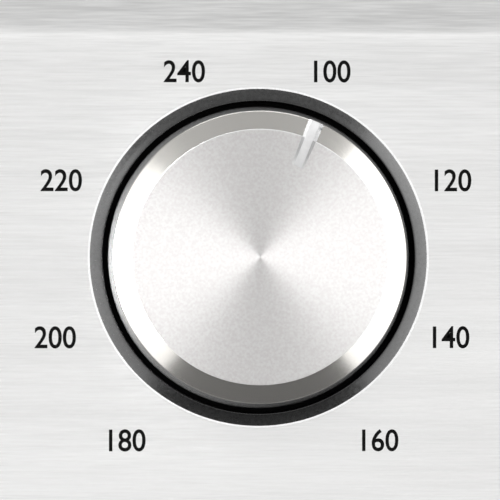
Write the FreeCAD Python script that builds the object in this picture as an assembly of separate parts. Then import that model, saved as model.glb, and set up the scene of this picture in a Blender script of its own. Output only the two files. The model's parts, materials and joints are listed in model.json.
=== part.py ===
"""A counter-top mini oven: case, chamber, drop-down door, rack, crumb tray and control column.

Millimetres. X runs to the right, Y to the back and Z up. The origin is the footprint's centre on the table.
"""

import FreeCAD
import Part
import math
import os
from FreeCAD import Vector

# Oven chamber, which sets the width and depth of the case
cavity_width = 270.0
cavity_depth = 235.0
cavity_side_gap = 20.0
cavity_column_gap = 18.0
cavity_floor_rise = 10.0
cavity_roof_gap = 22.0
cavity_rear_gap = 49.0
cavity_corner = 4.0
liner_flange = 8.0
liner_ledge = 14.0
rack_above_hinge = 60.0
rack_pitch = 28.0
guide_height = 5.0
guide_depth = 7.0
guide_slope = 2.0
guide_end_gap = 8.0

# Sheet metal case
case_sheet = 0.8
case_corner = 14.0
panel_sheet = 1.0
panel_flange = 12.0
vent_width = 3.0
vent_pitch = 8.0
side_vent_height = 26.0
side_vent_count = 9
rear_vent_height = 24.0
rear_vent_count = 7
base_vent_height = 34.0
base_vent_count = 6

# Feet
foot_height = 20.0
foot_radius = 15.0
foot_tip_radius = 12.5
foot_inset_x = 38.0
foot_inset_y = 34.0
pad_radius = 10.0
pad_height = 3.0
pad_recess = 1.5

# Screws
screw_radius = 1.9
screw_head_radius = 3.5
screw_crown_radius = 2.4
screw_head_height = 2.2
screw_length = 7.0
screw_hole_gap = 0.1
screw_pocket_radius = 4.5

# Quartz heaters
quartz_radius = 5.0
quartz_wall = 1.0
heater_inset = 62.0
upper_heater_drop = 12.0
lower_heater_rise = 27.0
heater_overhang = 8.0
heater_hole_gap = 0.2
coil_radius = 2.1
end_cap_radius = 7.5
end_cap_length = 12.0
guard_radius = 1.2
guard_spread = 12.0
guard_gap = 1.3

# Temperature probe and cut-off
probe_radius = 2.0
probe_reach = 26.0
probe_drop = 22.0
probe_collar_radius = 5.0
probe_collar_length = 3.0
cutoff_radius = 8.0
cutoff_height = 6.0
cutoff_inset = 60.0
cutoff_ear_length = 32.0
cutoff_ear_width = 10.0
tab_height = 5.0
tab_width = 6.0
tab_sheet = 0.8
tab_spacing = 8.0

# Door
door_thickness = 14.0
door_gap = 3.0
door_skin = 1.0
door_corner = 3.0
door_outer_corner = 11.0
front_margin = 1.5
door_top_margin = 5.0
window_side_margin = 34.0
window_top_margin = 34.0
window_bottom_margin = 30.0
window_corner = 5.0
glass_thickness = 4.0
glass_overlap = 6.0

# Door hinge
hinge_drop = 6.0
hinge_inset = 20.0
sill_above_hinge = 6.0
ear_thickness = 2.5
ear_nose = 4.8
ear_foot_width = 14.0
ear_foot_height = 20.0
ear_foot_sheet = 1.5
ear_tail = 10.0
ear_slot_gap = 0.3
ear_notch_gap = 1.0
pin_radius = 2.5
pin_clearance = 0.05
pin_block_length = 8.0
pin_block_rise = 5.0
spring_wire = 0.6
spring_radius = 3.6
spring_turns = 2
spring_turn_gap = 0.2
spring_leg = 12.0
moving_clearance = 0.3

# Handle
handle_radius = 8.0
handle_length = 250.0
handle_edge = 2.0
handle_reach = 40.0
handle_drop = 17.0
post_spacing = 210.0
post_radius = 6.0
post_flare = 2.0
post_screw_length = 11.0

# Rack
rack_wire = 2.5
rack_rib_wire = 1.5
rack_ribs = 10
rack_corner = 6.0
rack_side_gap = 2.0
rack_front_gap = 6.0
rack_back_gap = 7.0
magnet_radius = 4.0
magnet_gap = 0.6
magnet_inset = 6.0
strike_size = 10.0
strike_sheet = 1.5

# Crumb tray and the trim that it slides through
tray_wall = 8.0
tray_sheet = 0.8
tray_side_gap = 4.5
tray_back_gap = 4.0
tray_corner = 4.0
tray_front_drop = 2.0
tray_front_height = 16.0
tray_front_sheet = 1.2
tray_lip_reach = 7.0
tray_lip_drop = 3.0
trim_recess = 3.0
trim_mouth_gap = 1.0
trim_rim = 3.7
trim_top_gap = 5.0

# Control column, stacked from the bottom of the fascia to its top
fascia_sheet = 1.2
fascia_bottom_rise = 3.0
fascia_lean = 8.0
fascia_bend = 8.0
column_margin = 14.0
start_button_rise = 18.6
start_button_gap = 18.4
pair_button_pitch = 17.0
dial_above_buttons = 47.6
seam_above_dial = 34.2
display_band = 70.2

# Buttons and the board behind them
button_height = 11.0
pair_button_width = 30.0
pair_button_gap = 10.0
start_button_width = 52.0
button_reach = 1.8
button_edge = 0.7
button_clearance = 0.4
button_flange = 1.2
button_flange_depth = 1.2
button_stem_radius = 1.5
button_stem_gap = 0.3
housing_plate = 2.0
housing_wall = 1.6
housing_gap = 0.5
housing_back_gap = 4.0
boss_radius = 3.0
boss_inset = 10.0
board_depth = 19.0
board_sheet = 1.6
switch_size = 6.0
switch_height = 4.0

# Knob
knob_skirt_radius = 22.65
knob_taper = 0.9
knob_chamfer_width = 3.05
knob_chamfer_depth = 2.2
knob_reach = 14.0
knob_wall = 1.2
knob_face_wall = 3.4
knob_tuck = 0.6
notch_width = 1.25
notch_run = 4.4
notch_end_depth = 0.2
notch_rim_depth = 0.42
notch_end_wall = 0.3
notch_rim_wall = 0.6
notch_angle = 22.5
knob_gap = 0.75
ring_width = 2.2
ring_height = 1.5
ring_lip = 0.45
ring_lip_height = 0.22
ring_sleeve_wall = 0.8
ring_sleeve_depth = 4.0
well_wall = 2.2
well_depth = 7.0
well_floor = 1.5
shaft_radius = 3.0
shaft_flat = 0.8
hub_radius = 6.0
hub_sheet = 2.0
hub_ribs = 6
hub_rib_sheet = 1.6
encoder_size = 14.0
encoder_depth = 6.0
bushing_radius = 4.5
bushing_reach = 5.0
nut_radius = 6.4
nut_height = 2.4

# Display
window_width = 62.0
window_height = 46.0
window_rise = 14.0
display_corner = 3.0
lens_thickness = 2.0
lens_fit = 0.2
lens_rim = 2.0
module_depth = 5.0
module_rim = 1.0
holder_rim = 6.0

# Rear
spacer_length = 12.0
spacer_radius = 11.0
spacer_tip_radius = 7.5
spacer_wall = 3.0
spacer_spread = 300.0
spacer_height = 117.0
gland_radius = 8.0
gland_bore = 4.0
gland_rim = 3.0
gland_lip = 3.5
gland_inset = 30.0
gland_rise = 26.0

# Power electronics
shield_gap = 4.0
shield_foot = 12.0
shield_roof_gap = 10.0
standoff_length = 8.0
standoff_radius = 3.0
standoff_inset = 6.0
power_board_inset = 60.0
power_board_length = 130.0
power_board_height = 110.0
power_board_rise = 35.0
relay_length = 19.0
relay_height = 16.0
relay_depth = 15.5
relay_pitch = 24.0
transformer_length = 36.0
transformer_height = 32.0
winding_length = 22.0
winding_height = 44.0
core_depth = 12.0
winding_depth = 16.0
capacitor_radius = 5.0
capacitor_length = 18.0
capacitor_pitch = 14.0
ribbon_width = 18.0
ribbon_sheet = 1.0
terminal_length = 30.0
terminal_depth = 16.0
terminal_height = 14.0

# Places along the height
base_z = foot_height
floor_z = base_z + panel_sheet
cavity_bottom = base_z + cavity_floor_rise
tray_z = cavity_bottom + moving_clearance
tray_front_low = tray_z - tray_front_drop
tray_front_high = tray_front_low + tray_front_height
trim_top = tray_front_high + trim_mouth_gap + trim_rim
door_bottom = trim_top + trim_top_gap
hinge_z = door_bottom + hinge_drop
sill_z = hinge_z + sill_above_hinge
rack_z = hinge_z + rack_above_hinge
fascia_bottom = base_z + fascia_bottom_rise
start_z = fascia_bottom + start_button_rise
lower_pair_z = start_z + start_button_gap
upper_pair_z = lower_pair_z + pair_button_pitch
dial_z = upper_pair_z + dial_above_buttons
seam_z = dial_z + seam_above_dial
fascia_top = seam_z + display_band
door_top = fascia_top
top_z = fascia_top + door_top_margin
cavity_top = top_z - cavity_roof_gap
handle_z = door_top - handle_drop

# Places along the width
column_width = 2 * pair_button_width + pair_button_gap + 2 * column_margin
case_width = cavity_side_gap + cavity_width + cavity_column_gap + column_width
left_x = -case_width / 2
right_x = case_width / 2
cavity_left = left_x + cavity_side_gap
cavity_right = cavity_left + cavity_width
column_x = right_x - column_width
column_mid = column_x + column_width / 2
fascia_left = column_x + front_margin / 2
fascia_right = right_x - front_margin
door_left = left_x + front_margin
door_right = column_x - front_margin / 2
door_mid = (door_left + door_right) / 2
ear_places = [door_left + hinge_inset, door_right - hinge_inset]
window_left = door_left + window_side_margin
window_right = door_right - window_side_margin

# Places along the depth
case_depth = panel_sheet + cavity_depth + cavity_rear_gap
front_y = -(handle_reach + door_thickness + door_gap + case_depth + spacer_length) / 2 + handle_reach
frame_y = front_y + door_thickness + door_gap
liner_y = frame_y + panel_sheet
back_y = frame_y + case_depth
rear_y = back_y - panel_sheet
cavity_back = liner_y + cavity_depth
hinge_y = front_y + door_thickness / 2
handle_y = front_y - handle_reach + handle_radius
rack_front_y = liner_y + rack_front_gap + rack_wire
board_y = front_y + board_depth

# Sizes that follow from others
lean = math.radians(fascia_lean)
window_bottom = door_bottom + window_bottom_margin
window_top = door_top - window_top_margin
knob_rim_radius = knob_skirt_radius - knob_taper
knob_face_radius = knob_rim_radius - knob_chamfer_width
ring_inner_radius = knob_skirt_radius + knob_gap
ring_outer_radius = ring_inner_radius + ring_width
spring_pitch = 2 * spring_wire + spring_turn_gap
spring_length = spring_turns * spring_pitch + 2 * spring_wire

RIGHT = Vector(1, 0, 0)
BACK = Vector(0, 1, 0)
UP = Vector(0, 0, 1)
LEFT = Vector(-1, 0, 0)
OUT = Vector(0, -1, 0)
FRAMES = {"x": (BACK, UP, RIGHT), "y": (RIGHT, UP, BACK), "z": (RIGHT, BACK, UP)}


def block(x0, x1, y0, y1, z0, z1):
    """A block between two corners."""
    return Part.makeBox(x1 - x0, y1 - y0, z1 - z0, Vector(x0, y0, z0))


def rod(radius, start, direction, length):
    """A round bar from a start point."""
    return Part.makeCylinder(radius, length, start, direction)


def pipe(radius, bore, start, direction, length):
    """A round bar with a bore."""
    return rod(radius, start, direction, length).cut(rod(bore, start, direction, length))


def joined(shapes):
    """One solid from pieces that meet."""
    return shapes[0].multiFuse(shapes[1:]).removeSplitter()


def group(shapes):
    """Separate solids in one sub-part."""
    return Part.makeCompound(shapes)


def less(shape, tools):
    """A shape with all the tools taken out of it."""
    return shape.cut(Part.makeCompound(tools))


def point(axis, u, v, w):
    """A point in the plane that faces along the axis."""
    across, upward, outward = FRAMES[axis]
    return across * u + upward * v + outward * w


def prism(axis, corners, w0, w1):
    """A straight-sided outline, extruded along the axis."""
    points = [point(axis, u, v, w0) for u, v in corners]
    face = Part.Face(Part.makePolygon(points + points[:1]))
    return face.extrude(FRAMES[axis][2] * (w1 - w0))


def rounded(axis, u0, u1, v0, v1, radius, w0, w1):
    """A rectangle with round corners, extruded. A list of four radii starts low on the left."""
    radii = radius if isinstance(radius, list) else [radius] * 4
    corners = [(u0, v0), (u1, v0), (u1, v1), (u0, v1)]
    turns = [(1, 0), (0, 1), (-1, 0), (0, -1)]
    bulge = 1 - math.sqrt(0.5)
    starts = []
    ends = []
    arcs = []
    for (u, v), (du, dv), (bu, bv), r in zip(corners, turns, turns[-1:] + turns[:3], radii):
        starts.append(point(axis, u - bu * r, v - bv * r, w0))
        ends.append(point(axis, u + du * r, v + dv * r, w0))
        middle = point(axis, u + (du - bu) * r * bulge, v + (dv - bv) * r * bulge, w0)
        arcs.append(Part.Arc(starts[-1], middle, ends[-1]).toShape() if r > 0 else None)
    edges = []
    for number in range(4):
        if arcs[number]:
            edges.append(arcs[number])
        start = ends[number]
        end = starts[(number + 1) % 4]
        if not start.isEqual(end, 1e-6):
            edges.append(Part.LineSegment(start, end).toShape())
    return Part.Face(Part.Wire(edges)).extrude(FRAMES[axis][2] * (w1 - w0))


def pill(axis, u, v, width, height, w0, w1):
    """A slot or pill with fully round ends, centred on a point."""
    r = min(width, height) / 2
    return rounded(axis, u - width / 2, u + width / 2, v - height / 2, v + height / 2, r, w0, w1)


def turned(profile, centre, direction, side):
    """A profile of radius and distance along the axis, turned through a full circle."""
    points = [centre + side * radius + direction * along for radius, along in profile]
    face = Part.Face(Part.makePolygon(points + points[:1]))
    return face.revolve(centre, direction, 360)


def screw(seat, direction, length):
    """A pan-head screw. The head stands on its seat and the shank goes along the direction."""
    profile = [
        (0, -screw_head_height),
        (screw_crown_radius, -screw_head_height),
        (screw_head_radius, 0),
        (screw_radius, 0),
        (screw_radius, length),
        (0, length),
    ]
    side = UP if abs(direction.z) < 0.5 else RIGHT
    return turned(profile, seat, direction, side)


def case_outline(inset, bottom, y0, y1):
    """The front outline of the case, round at its two upper corners."""
    r = case_corner - inset
    return rounded("y", left_x + inset, right_x - inset, bottom, top_z - inset, [0, 0, r, r], y0, y1)


def flanged_panel(y0, y1, direction):
    """A panel that fills the wrap, with a flange turned along its edge."""
    plate = case_outline(case_sheet, floor_z, y0, y1)
    start = y1 if direction > 0 else y0 - panel_flange
    rim = case_outline(case_sheet, floor_z, start, start + panel_flange)
    inset = case_sheet + panel_sheet
    hollow = case_outline(inset, floor_z + panel_sheet, start - 1, start + panel_flange + 1)
    return joined([plate, rim.cut(hollow)])


def vents(axis, u, v, count, height, w0, w1):
    """A row of punched square-ended slots, centred on a point."""
    first = u - vent_pitch * (count - 1) / 2
    half = vent_width / 2
    slots = []
    for number in range(count):
        middle = first + vent_pitch * number
        slots.append(rounded(axis, middle - half, middle + half, v - height / 2, v + height / 2, 0, w0, w1))
    return slots


def foot_places():
    """Centres of the four feet on the table."""
    xs = (left_x + foot_inset_x, right_x - foot_inset_x)
    ys = (frame_y + foot_inset_y, back_y - foot_inset_y)
    return [Vector(x, y, 0) for x in xs for y in ys]


def gland_place():
    """Where the mains lead would leave the rear panel."""
    return Vector(right_x - gland_inset, back_y, base_z + gland_rise)


def rear_screw_places():
    """Screws round the edge of the rear panel."""
    edge = panel_flange
    low = [Vector(x, back_y, base_z + edge) for x in (left_x + edge, 0, right_x - edge)]
    inset = edge + case_corner / 2
    high = [Vector(x, back_y, top_z - edge) for x in (left_x + inset, 0, right_x - inset)]
    return low + high


def spacer_places():
    """Rear stand-offs that keep the oven off the wall."""
    return [Vector(x, back_y, base_z + spacer_height) for x in (-spacer_spread / 2, spacer_spread / 2)]


def wrap_part():
    """The wrap: top and two sides bent from one sheet, with vents."""
    shell = case_outline(0, base_z, frame_y, back_y).cut(
        case_outline(case_sheet, base_z - 1, frame_y - 1, back_y + 1)
    )
    middle = frame_y + case_depth / 2
    high = top_z - case_corner - side_vent_height
    low = floor_z + panel_flange + side_vent_height
    cuts = vents("x", middle, high, side_vent_count, side_vent_height, right_x - 2, right_x + 1)
    cuts += vents("x", middle, low, side_vent_count, side_vent_height, right_x - 2, right_x + 1)
    cuts += vents("x", middle, high, side_vent_count, side_vent_height, left_x - 1, left_x + 2)
    return less(shell, cuts)


def base_part():
    """The base plate, with side flanges, louvres under the controls and foot holes."""
    left = left_x + case_sheet
    right = right_x - case_sheet
    plate = block(left, right, frame_y, back_y, base_z, floor_z)
    y0 = liner_y + panel_flange + 1
    y1 = rear_y - panel_flange - 1
    left_side = block(left, left + panel_sheet, y0, y1, base_z, base_z + panel_flange)
    right_side = block(right - panel_sheet, right, y0, y1, base_z, base_z + panel_flange)
    cuts = []
    middle = (y0 + y1) / 2
    for y in (middle - base_vent_height, middle + base_vent_height):
        cuts += vents("z", column_mid, y, base_vent_count, base_vent_height, base_z - 1, floor_z + 1)
    for foot in foot_places():
        cuts.append(rod(screw_radius + screw_hole_gap, foot + UP * (base_z - 1), UP, panel_sheet + 2))
    return less(joined([plate, left_side, right_side]), cuts)


def front_frame_part():
    """The frame behind the door and the fascia, with mouths for the chamber, the tray and the controls."""
    y0 = frame_y - 1
    y1 = liner_y + 1
    tray_top = trim_top - trim_rim
    cuts = [
        rounded("y", cavity_left, cavity_right, sill_z, cavity_top, cavity_corner, y0, y1),
        rounded("y", cavity_left + 1, cavity_right - 1, cavity_bottom - 1, tray_top, 2, y0, y1),
        rounded("y", column_x + 7, right_x - 7, fascia_bottom + 5, fascia_top - 4, 6, y0, y1),
    ]
    half = ear_thickness / 2 + ear_slot_gap
    for x in ear_places:
        cuts.append(block(x - half, x + half, y0, y1, hinge_z - ear_nose - 2, hinge_z + ear_nose + 2))
    return less(flanged_panel(frame_y, liner_y, 1), cuts)


def rear_panel_part():
    """The rear panel, with vents, the gland's hole and screw holes."""
    y0 = rear_y - 1
    y1 = back_y + 1
    cuts = []
    high = top_z - panel_flange - rear_vent_height
    for x in (-case_width / 4, 0, case_width / 4):
        cuts += vents("y", x, high, rear_vent_count, rear_vent_height, y0, y1)
    low = base_z + gland_rise + 2 * rear_vent_height
    cuts += vents("y", column_mid, low, rear_vent_count, rear_vent_height, y0, y1)
    cuts.append(rod(gland_radius + screw_hole_gap, gland_place() - BACK * 2, BACK, 4))
    for place in rear_screw_places() + spacer_places():
        cuts.append(rod(screw_radius + screw_hole_gap, place - BACK * 2, BACK, 4))
    return less(flanged_panel(rear_y, back_y, -1), cuts)


def case_parts():
    """The sheet metal case and what is fastened to its back."""
    profile = [
        (screw_radius + screw_hole_gap, 0),
        (spacer_radius, 0),
        (spacer_radius, spacer_wall),
        (spacer_tip_radius, spacer_length),
        (screw_pocket_radius, spacer_length),
        (screw_pocket_radius, spacer_wall),
        (screw_radius + screw_hole_gap, spacer_wall),
    ]
    spacers = [turned(profile, place, BACK, RIGHT) for place in spacer_places()]
    long_screw = screw_length + spacer_wall
    foot_seat = base_z - spacer_wall
    screws = [screw(place, OUT, screw_length) for place in rear_screw_places()]
    screws += [screw(place + BACK * spacer_wall, OUT, long_screw) for place in spacer_places()]
    screws += [screw(foot + UP * foot_seat, UP, long_screw) for foot in foot_places()]
    gland_profile = [
        (gland_bore, -screw_length),
        (gland_radius, -screw_length),
        (gland_radius, 0),
        (gland_radius + gland_rim, 0),
        (gland_radius + gland_rim, gland_lip / 2),
        (gland_radius, gland_lip),
        (gland_bore, gland_lip),
    ]
    return {
        "outer_wrap": wrap_part(),
        "base_plate": base_part(),
        "front_frame": front_frame_part(),
        "rear_panel": rear_panel_part(),
        "rear_spacers": group(spacers),
        "case_screws": group(screws),
        "cord_gland": turned(gland_profile, gland_place(), BACK, RIGHT),
    }


def foot_parts():
    """Moulded feet with a screw pocket, and their rubber pads."""
    seat = base_z - spacer_wall
    low = pad_height - pad_recess
    foot_profile = [
        (screw_radius + screw_hole_gap, base_z),
        (foot_radius, base_z),
        (foot_tip_radius, low),
        (pad_radius, low),
        (pad_radius, pad_height),
        (screw_pocket_radius, pad_height),
        (screw_pocket_radius, seat),
        (screw_radius + screw_hole_gap, seat),
    ]
    pad_profile = [
        (0, 0),
        (pad_radius - 1, 0),
        (pad_radius, 1),
        (pad_radius, pad_height),
        (0, pad_height),
    ]
    feet = [turned(foot_profile, foot, UP, RIGHT) for foot in foot_places()]
    pads = [turned(pad_profile, foot, UP, RIGHT) for foot in foot_places()]
    return {"feet": group(feet), "foot_pads": group(pads)}


def guide_rib(side, z, flat_side):
    """A rib pressed inwards from a side wall, flat towards the rack and sloping on its far side."""
    wall = cavity_left if side < 0 else cavity_right
    inner = wall - side * guide_depth
    near = z + flat_side * guide_height / 2
    far = z - flat_side * guide_height / 2
    corners = [
        (wall + side * case_sheet / 2, near),
        (inner, near),
        (inner, far),
        (wall + side * case_sheet / 2, far - flat_side * guide_slope),
    ]
    return prism("y", corners, liner_y + guide_end_gap, cavity_back - guide_end_gap)


def heater_places(level):
    """The depth and height of the two tubes at one level."""
    z = cavity_top - upper_heater_drop if level == "upper" else cavity_bottom + lower_heater_rise
    return [(liner_y + heater_inset, z), (cavity_back - heater_inset, z)]


def probe_place():
    """Where the temperature probe comes through the right wall."""
    return Vector(cavity_right, (liner_y + cavity_back) / 2, cavity_top - probe_drop)


def liner_part():
    """The oven liner: an open box with a front flange, three rack levels, tray ledges and heater holes."""
    t = case_sheet
    x0 = cavity_left
    x1 = cavity_right
    z0 = cavity_bottom
    z1 = cavity_top
    r = cavity_corner
    outer = rounded("y", x0 - t, x1 + t, z0 - t, z1 + t, r + t, liner_y, cavity_back + t)
    inner = rounded("y", x0, x1, z0, z1, r, liner_y - 1, cavity_back)
    f = liner_flange
    flange = rounded("y", x0 - f, x1 + f, sill_z - f, z1 + f, r, liner_y, liner_y + t)
    flange = flange.cut(block(x0 - t, x1 + t, liner_y - 1, liner_y + 2, sill_z - f - 1, z1))
    ribs = []
    offset = rack_wire + moving_clearance + guide_height / 2
    for side in (-1, 1):
        for level in (-1, 0, 1):
            z = rack_z + level * rack_pitch
            ribs.append(guide_rib(side, z - offset, 1))
            ribs.append(guide_rib(side, z + offset, -1))
    liner = joined([outer.cut(inner), flange] + ribs)
    ledge = liner_ledge
    cuts = [block(x0 + ledge, x1 - ledge, liner_y + ledge, cavity_back - ledge, z0 - 2, z0 + 1)]
    for y, z in heater_places("upper") + heater_places("lower"):
        hole = quartz_radius + heater_hole_gap
        cuts.append(rod(hole, Vector(x0 - 3, y, z), RIGHT, cavity_width + 6))
    cuts.append(rod(probe_radius + heater_hole_gap, probe_place() + LEFT * 2, RIGHT, 6))
    return less(liner, cuts)


def heater_parts():
    """Quartz tubes through the side walls, their coils, ceramic ends and guard wires."""
    parts = {}
    start_x = cavity_left - case_sheet - heater_overhang
    length = cavity_width + 2 * (case_sheet + heater_overhang)
    coils = []
    caps = []
    grip = heater_overhang - moving_clearance
    cap_profile = [
        (quartz_radius, -grip),
        (end_cap_radius, -grip),
        (end_cap_radius, end_cap_length - heater_overhang),
        (0, end_cap_length - heater_overhang),
        (0, 0),
        (quartz_radius, 0),
    ]
    for level in ("upper", "lower"):
        tubes = []
        for y, z in heater_places(level):
            start = Vector(start_x, y, z)
            tubes.append(pipe(quartz_radius, quartz_radius - quartz_wall, start, RIGHT, length))
            coils.append(rod(coil_radius, start, RIGHT, length))
            caps.append(turned(cap_profile, start, LEFT, UP))
            caps.append(turned(cap_profile, start + RIGHT * length, RIGHT, UP))
        parts[level + "_quartz_tubes"] = group(tubes)
    parts["heating_coils"] = group(coils)
    parts["tube_end_caps"] = group(caps)
    guards = []
    for y, z in heater_places("lower"):
        for side in (-1, 1):
            height = z + quartz_radius + guard_gap + guard_radius
            start = Vector(cavity_left, y + side * guard_spread / 2, height)
            guards.append(rod(guard_radius, start, RIGHT, cavity_width))
    parts["element_guards"] = group(guards)
    return parts


def chamber_parts():
    """The liner, its heaters, sensors and rear bracket."""
    parts = heater_parts()
    parts["oven_liner"] = liner_part()
    place = probe_place()
    outside = place + RIGHT * case_sheet
    probe_length = probe_reach + case_sheet + probe_collar_length
    probe = rod(probe_radius, place + LEFT * probe_reach, RIGHT, probe_length)
    collar = rod(probe_collar_radius, outside, RIGHT, probe_collar_length)
    parts["temperature_probe"] = joined([probe, collar])

    seat = Vector(cavity_right - cutoff_inset, (liner_y + cavity_back) / 2, cavity_top + case_sheet)
    sheet = panel_sheet
    ears = pill("z", seat.x, seat.y, cutoff_ear_length, cutoff_ear_width, seat.z, seat.z + sheet)
    can = rod(cutoff_radius, seat + UP * sheet, UP, cutoff_height)
    pieces = [ears, can]
    tab_z = seat.z + sheet + cutoff_height
    for side in (-1, 1):
        x = seat.x + (side * tab_spacing + tab_sheet) / 2
        low_y = seat.y - tab_width / 2
        pieces.append(block(x - tab_sheet, x, low_y, low_y + tab_width, tab_z, tab_z + tab_height))
    parts["thermal_cutoff"] = joined(pieces)

    y0 = cavity_back + case_sheet
    z = (cavity_bottom + cavity_top) / 2
    foot = liner_ledge
    profile = [
        (y0, z - foot),
        (y0 + sheet, z - foot),
        (y0 + sheet, z - sheet),
        (rear_y, z - sheet),
        (rear_y, z + foot),
        (rear_y - sheet, z + foot),
        (rear_y - sheet, z),
        (y0, z),
    ]
    middle = (cavity_left + cavity_right) / 2
    parts["liner_bracket"] = prism("x", profile, middle - 2 * foot, middle + 2 * foot)
    return parts


def torsion_spring(x0, inward):
    """A coil round the hinge pin, with one leg up inside the door."""
    start = x0 + inward * spring_wire

    def on_coil(turn):
        angle = math.pi + 2 * math.pi * turn
        y = hinge_y + spring_radius * math.cos(angle)
        z = hinge_z + spring_radius * math.sin(angle)
        return Vector(start + inward * spring_pitch * turn, y, z)

    leg_top = on_coil(0) + UP * spring_leg
    edges = [Part.LineSegment(leg_top, on_coil(0)).toShape()]
    for half_turn in range(2 * spring_turns):
        turn = half_turn / 2
        edges.append(Part.Arc(on_coil(turn), on_coil(turn + 0.25), on_coil(turn + 0.5)).toShape())
    section = Part.Wire([Part.Circle(leg_top, UP, spring_wire).toShape()])
    coil = Part.Wire(edges).makePipeShell([section], True, False)
    return coil if coil.Volume > 0 else coil.reversed()


def hinge_parts():
    """Fixed ears and pins, and the blocks and springs that the door carries."""
    ears = []
    pins = []
    blocks = []
    springs = []
    half = ear_thickness / 2
    bore_length = pin_block_length + 2
    for x in ear_places:
        inward = 1 if x < door_mid else -1
        low = hinge_z - ear_nose
        arm = block(x - half, x + half, hinge_y, liner_y + ear_tail, low, low + 2 * ear_nose)
        nose = rod(ear_nose, Vector(x - half, hinge_y, hinge_z), RIGHT, ear_thickness)
        foot_x = x - half if inward > 0 else x + half - ear_foot_width
        foot_corner = Vector(foot_x, liner_y, sill_z - ear_foot_height)
        foot = Part.makeBox(ear_foot_width, ear_foot_sheet, ear_foot_height, foot_corner)
        bore = rod(pin_radius, Vector(x - 2 * half, hinge_y, hinge_z), RIGHT, 4 * half)
        ears.append(joined([arm, nose, foot]).cut(bore))

        outer = x - inward * (half + moving_clearance)
        inner = x + inward * (half + 3 * moving_clearance + spring_length)
        pin_start = outer - inward * pin_block_length
        pin_length = abs(inner - outer) + 2 * pin_block_length
        pins.append(rod(pin_radius, Vector(pin_start, hinge_y, hinge_z), RIGHT * inward, pin_length))
        for near in (outer, inner):
            x0 = near - pin_block_length if (near < x) else near
            body = rounded(
                "x",
                front_y + door_skin,
                front_y + door_thickness - 2 * door_skin,
                door_bottom + door_skin,
                hinge_z + pin_block_rise,
                [0, 0, 2, 2],
                x0,
                x0 + pin_block_length,
            )
            hole = rod(pin_radius + pin_clearance, Vector(x0 - 1, hinge_y, hinge_z), RIGHT, bore_length)
            blocks.append(body.cut(hole))
        springs.append(torsion_spring(x + inward * (half + 2 * moving_clearance), inward))
    return {
        "hinge_brackets": group(ears),
        "hinge_pins": group(pins),
        "hinge_blocks": group(blocks),
        "door_springs": group(springs),
    }


def window_shape(grow, radius, y0, y1):
    """The door's window outline, made larger on every side."""
    left = window_left - grow
    right = window_right + grow
    return rounded("y", left, right, window_bottom - grow, window_top + grow, radius, y0, y1)


def door_parts():
    """Door frame, glass, inner panel and magnets."""
    radii = [door_corner, door_corner, door_corner, door_outer_corner]
    inner_radii = [r - door_skin for r in radii]
    back = front_y + door_thickness
    inner_face = back - door_skin
    glass_y = front_y + door_skin
    rim_y = glass_y + glass_thickness
    s = door_skin
    skin = rounded("y", door_left, door_right, door_bottom, door_top, radii, front_y, inner_face)
    hollow = rounded(
        "y", door_left + s, door_right - s, door_bottom + s, door_top - s, inner_radii, glass_y, back
    )
    frame_cuts = [hollow, window_shape(0, window_corner, front_y - 1, rim_y)]
    panel = rounded("y", door_left, door_right, door_bottom, door_top, radii, inner_face, back)
    rim = window_shape(s, window_corner + s, rim_y, inner_face)
    panel_cuts = [window_shape(0, window_corner, rim_y - 1, back + 1)]
    half = ear_thickness / 2 + ear_notch_gap
    notch_y = hinge_y - ear_nose - moving_clearance
    for x in ear_places:
        notch = block(x - half, x + half, notch_y, back + 1, door_bottom - 1, hinge_z + ear_nose + 2)
        frame_cuts.append(notch)
        panel_cuts.append(notch)
    for x in post_places():
        seat = Vector(x, front_y - 1, handle_z)
        frame_cuts.append(rod(screw_radius + screw_hole_gap, seat, BACK, door_skin + 2))
    magnets = []
    for x in (window_left - magnet_inset, window_right + magnet_inset):
        length = rack_front_y - rack_wire - magnet_gap - back
        magnets.append(rod(magnet_radius, Vector(x, back, rack_z), BACK, length))
    parts = handle_parts()
    parts["door_frame"] = less(skin, frame_cuts)
    parts["door_glass"] = window_shape(glass_overlap, window_corner + 1, glass_y, rim_y)
    parts["door_inner_panel"] = less(joined([panel, rim]), panel_cuts)
    parts["rack_magnets"] = group(magnets)
    return parts


def post_places():
    """Where the two handle posts stand on the door."""
    return [door_mid - post_spacing / 2, door_mid + post_spacing / 2]


def handle_parts():
    """The bar, its two posts and their screws."""
    r = handle_radius
    e = handle_edge
    length = handle_length
    profile = [(0, 0), (r - e, 0), (r, e), (r, length - e), (r - e, length), (0, length)]
    start = Vector(door_mid - length / 2, handle_y, handle_z)
    reach = front_y - handle_y
    post_profile = [
        (0, 0),
        (post_radius + post_flare, 0),
        (post_radius + post_flare, post_flare),
        (post_radius, 2 * post_flare),
        (post_radius, reach),
        (0, reach),
    ]
    core = rod(r, start, RIGHT, length)
    posts = []
    screws = []
    for x in post_places():
        base = Vector(x, front_y, handle_z)
        hole = rod(screw_radius, base, OUT, post_screw_length + 1)
        posts.append(less(turned(post_profile, base, OUT, RIGHT), [core, hole]))
        screws.append(screw(base + BACK * door_skin, OUT, post_screw_length))
    return {
        "handle_bar": turned(profile, start, RIGHT, UP),
        "handle_posts": group(posts),
        "handle_screws": group(screws),
    }


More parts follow.
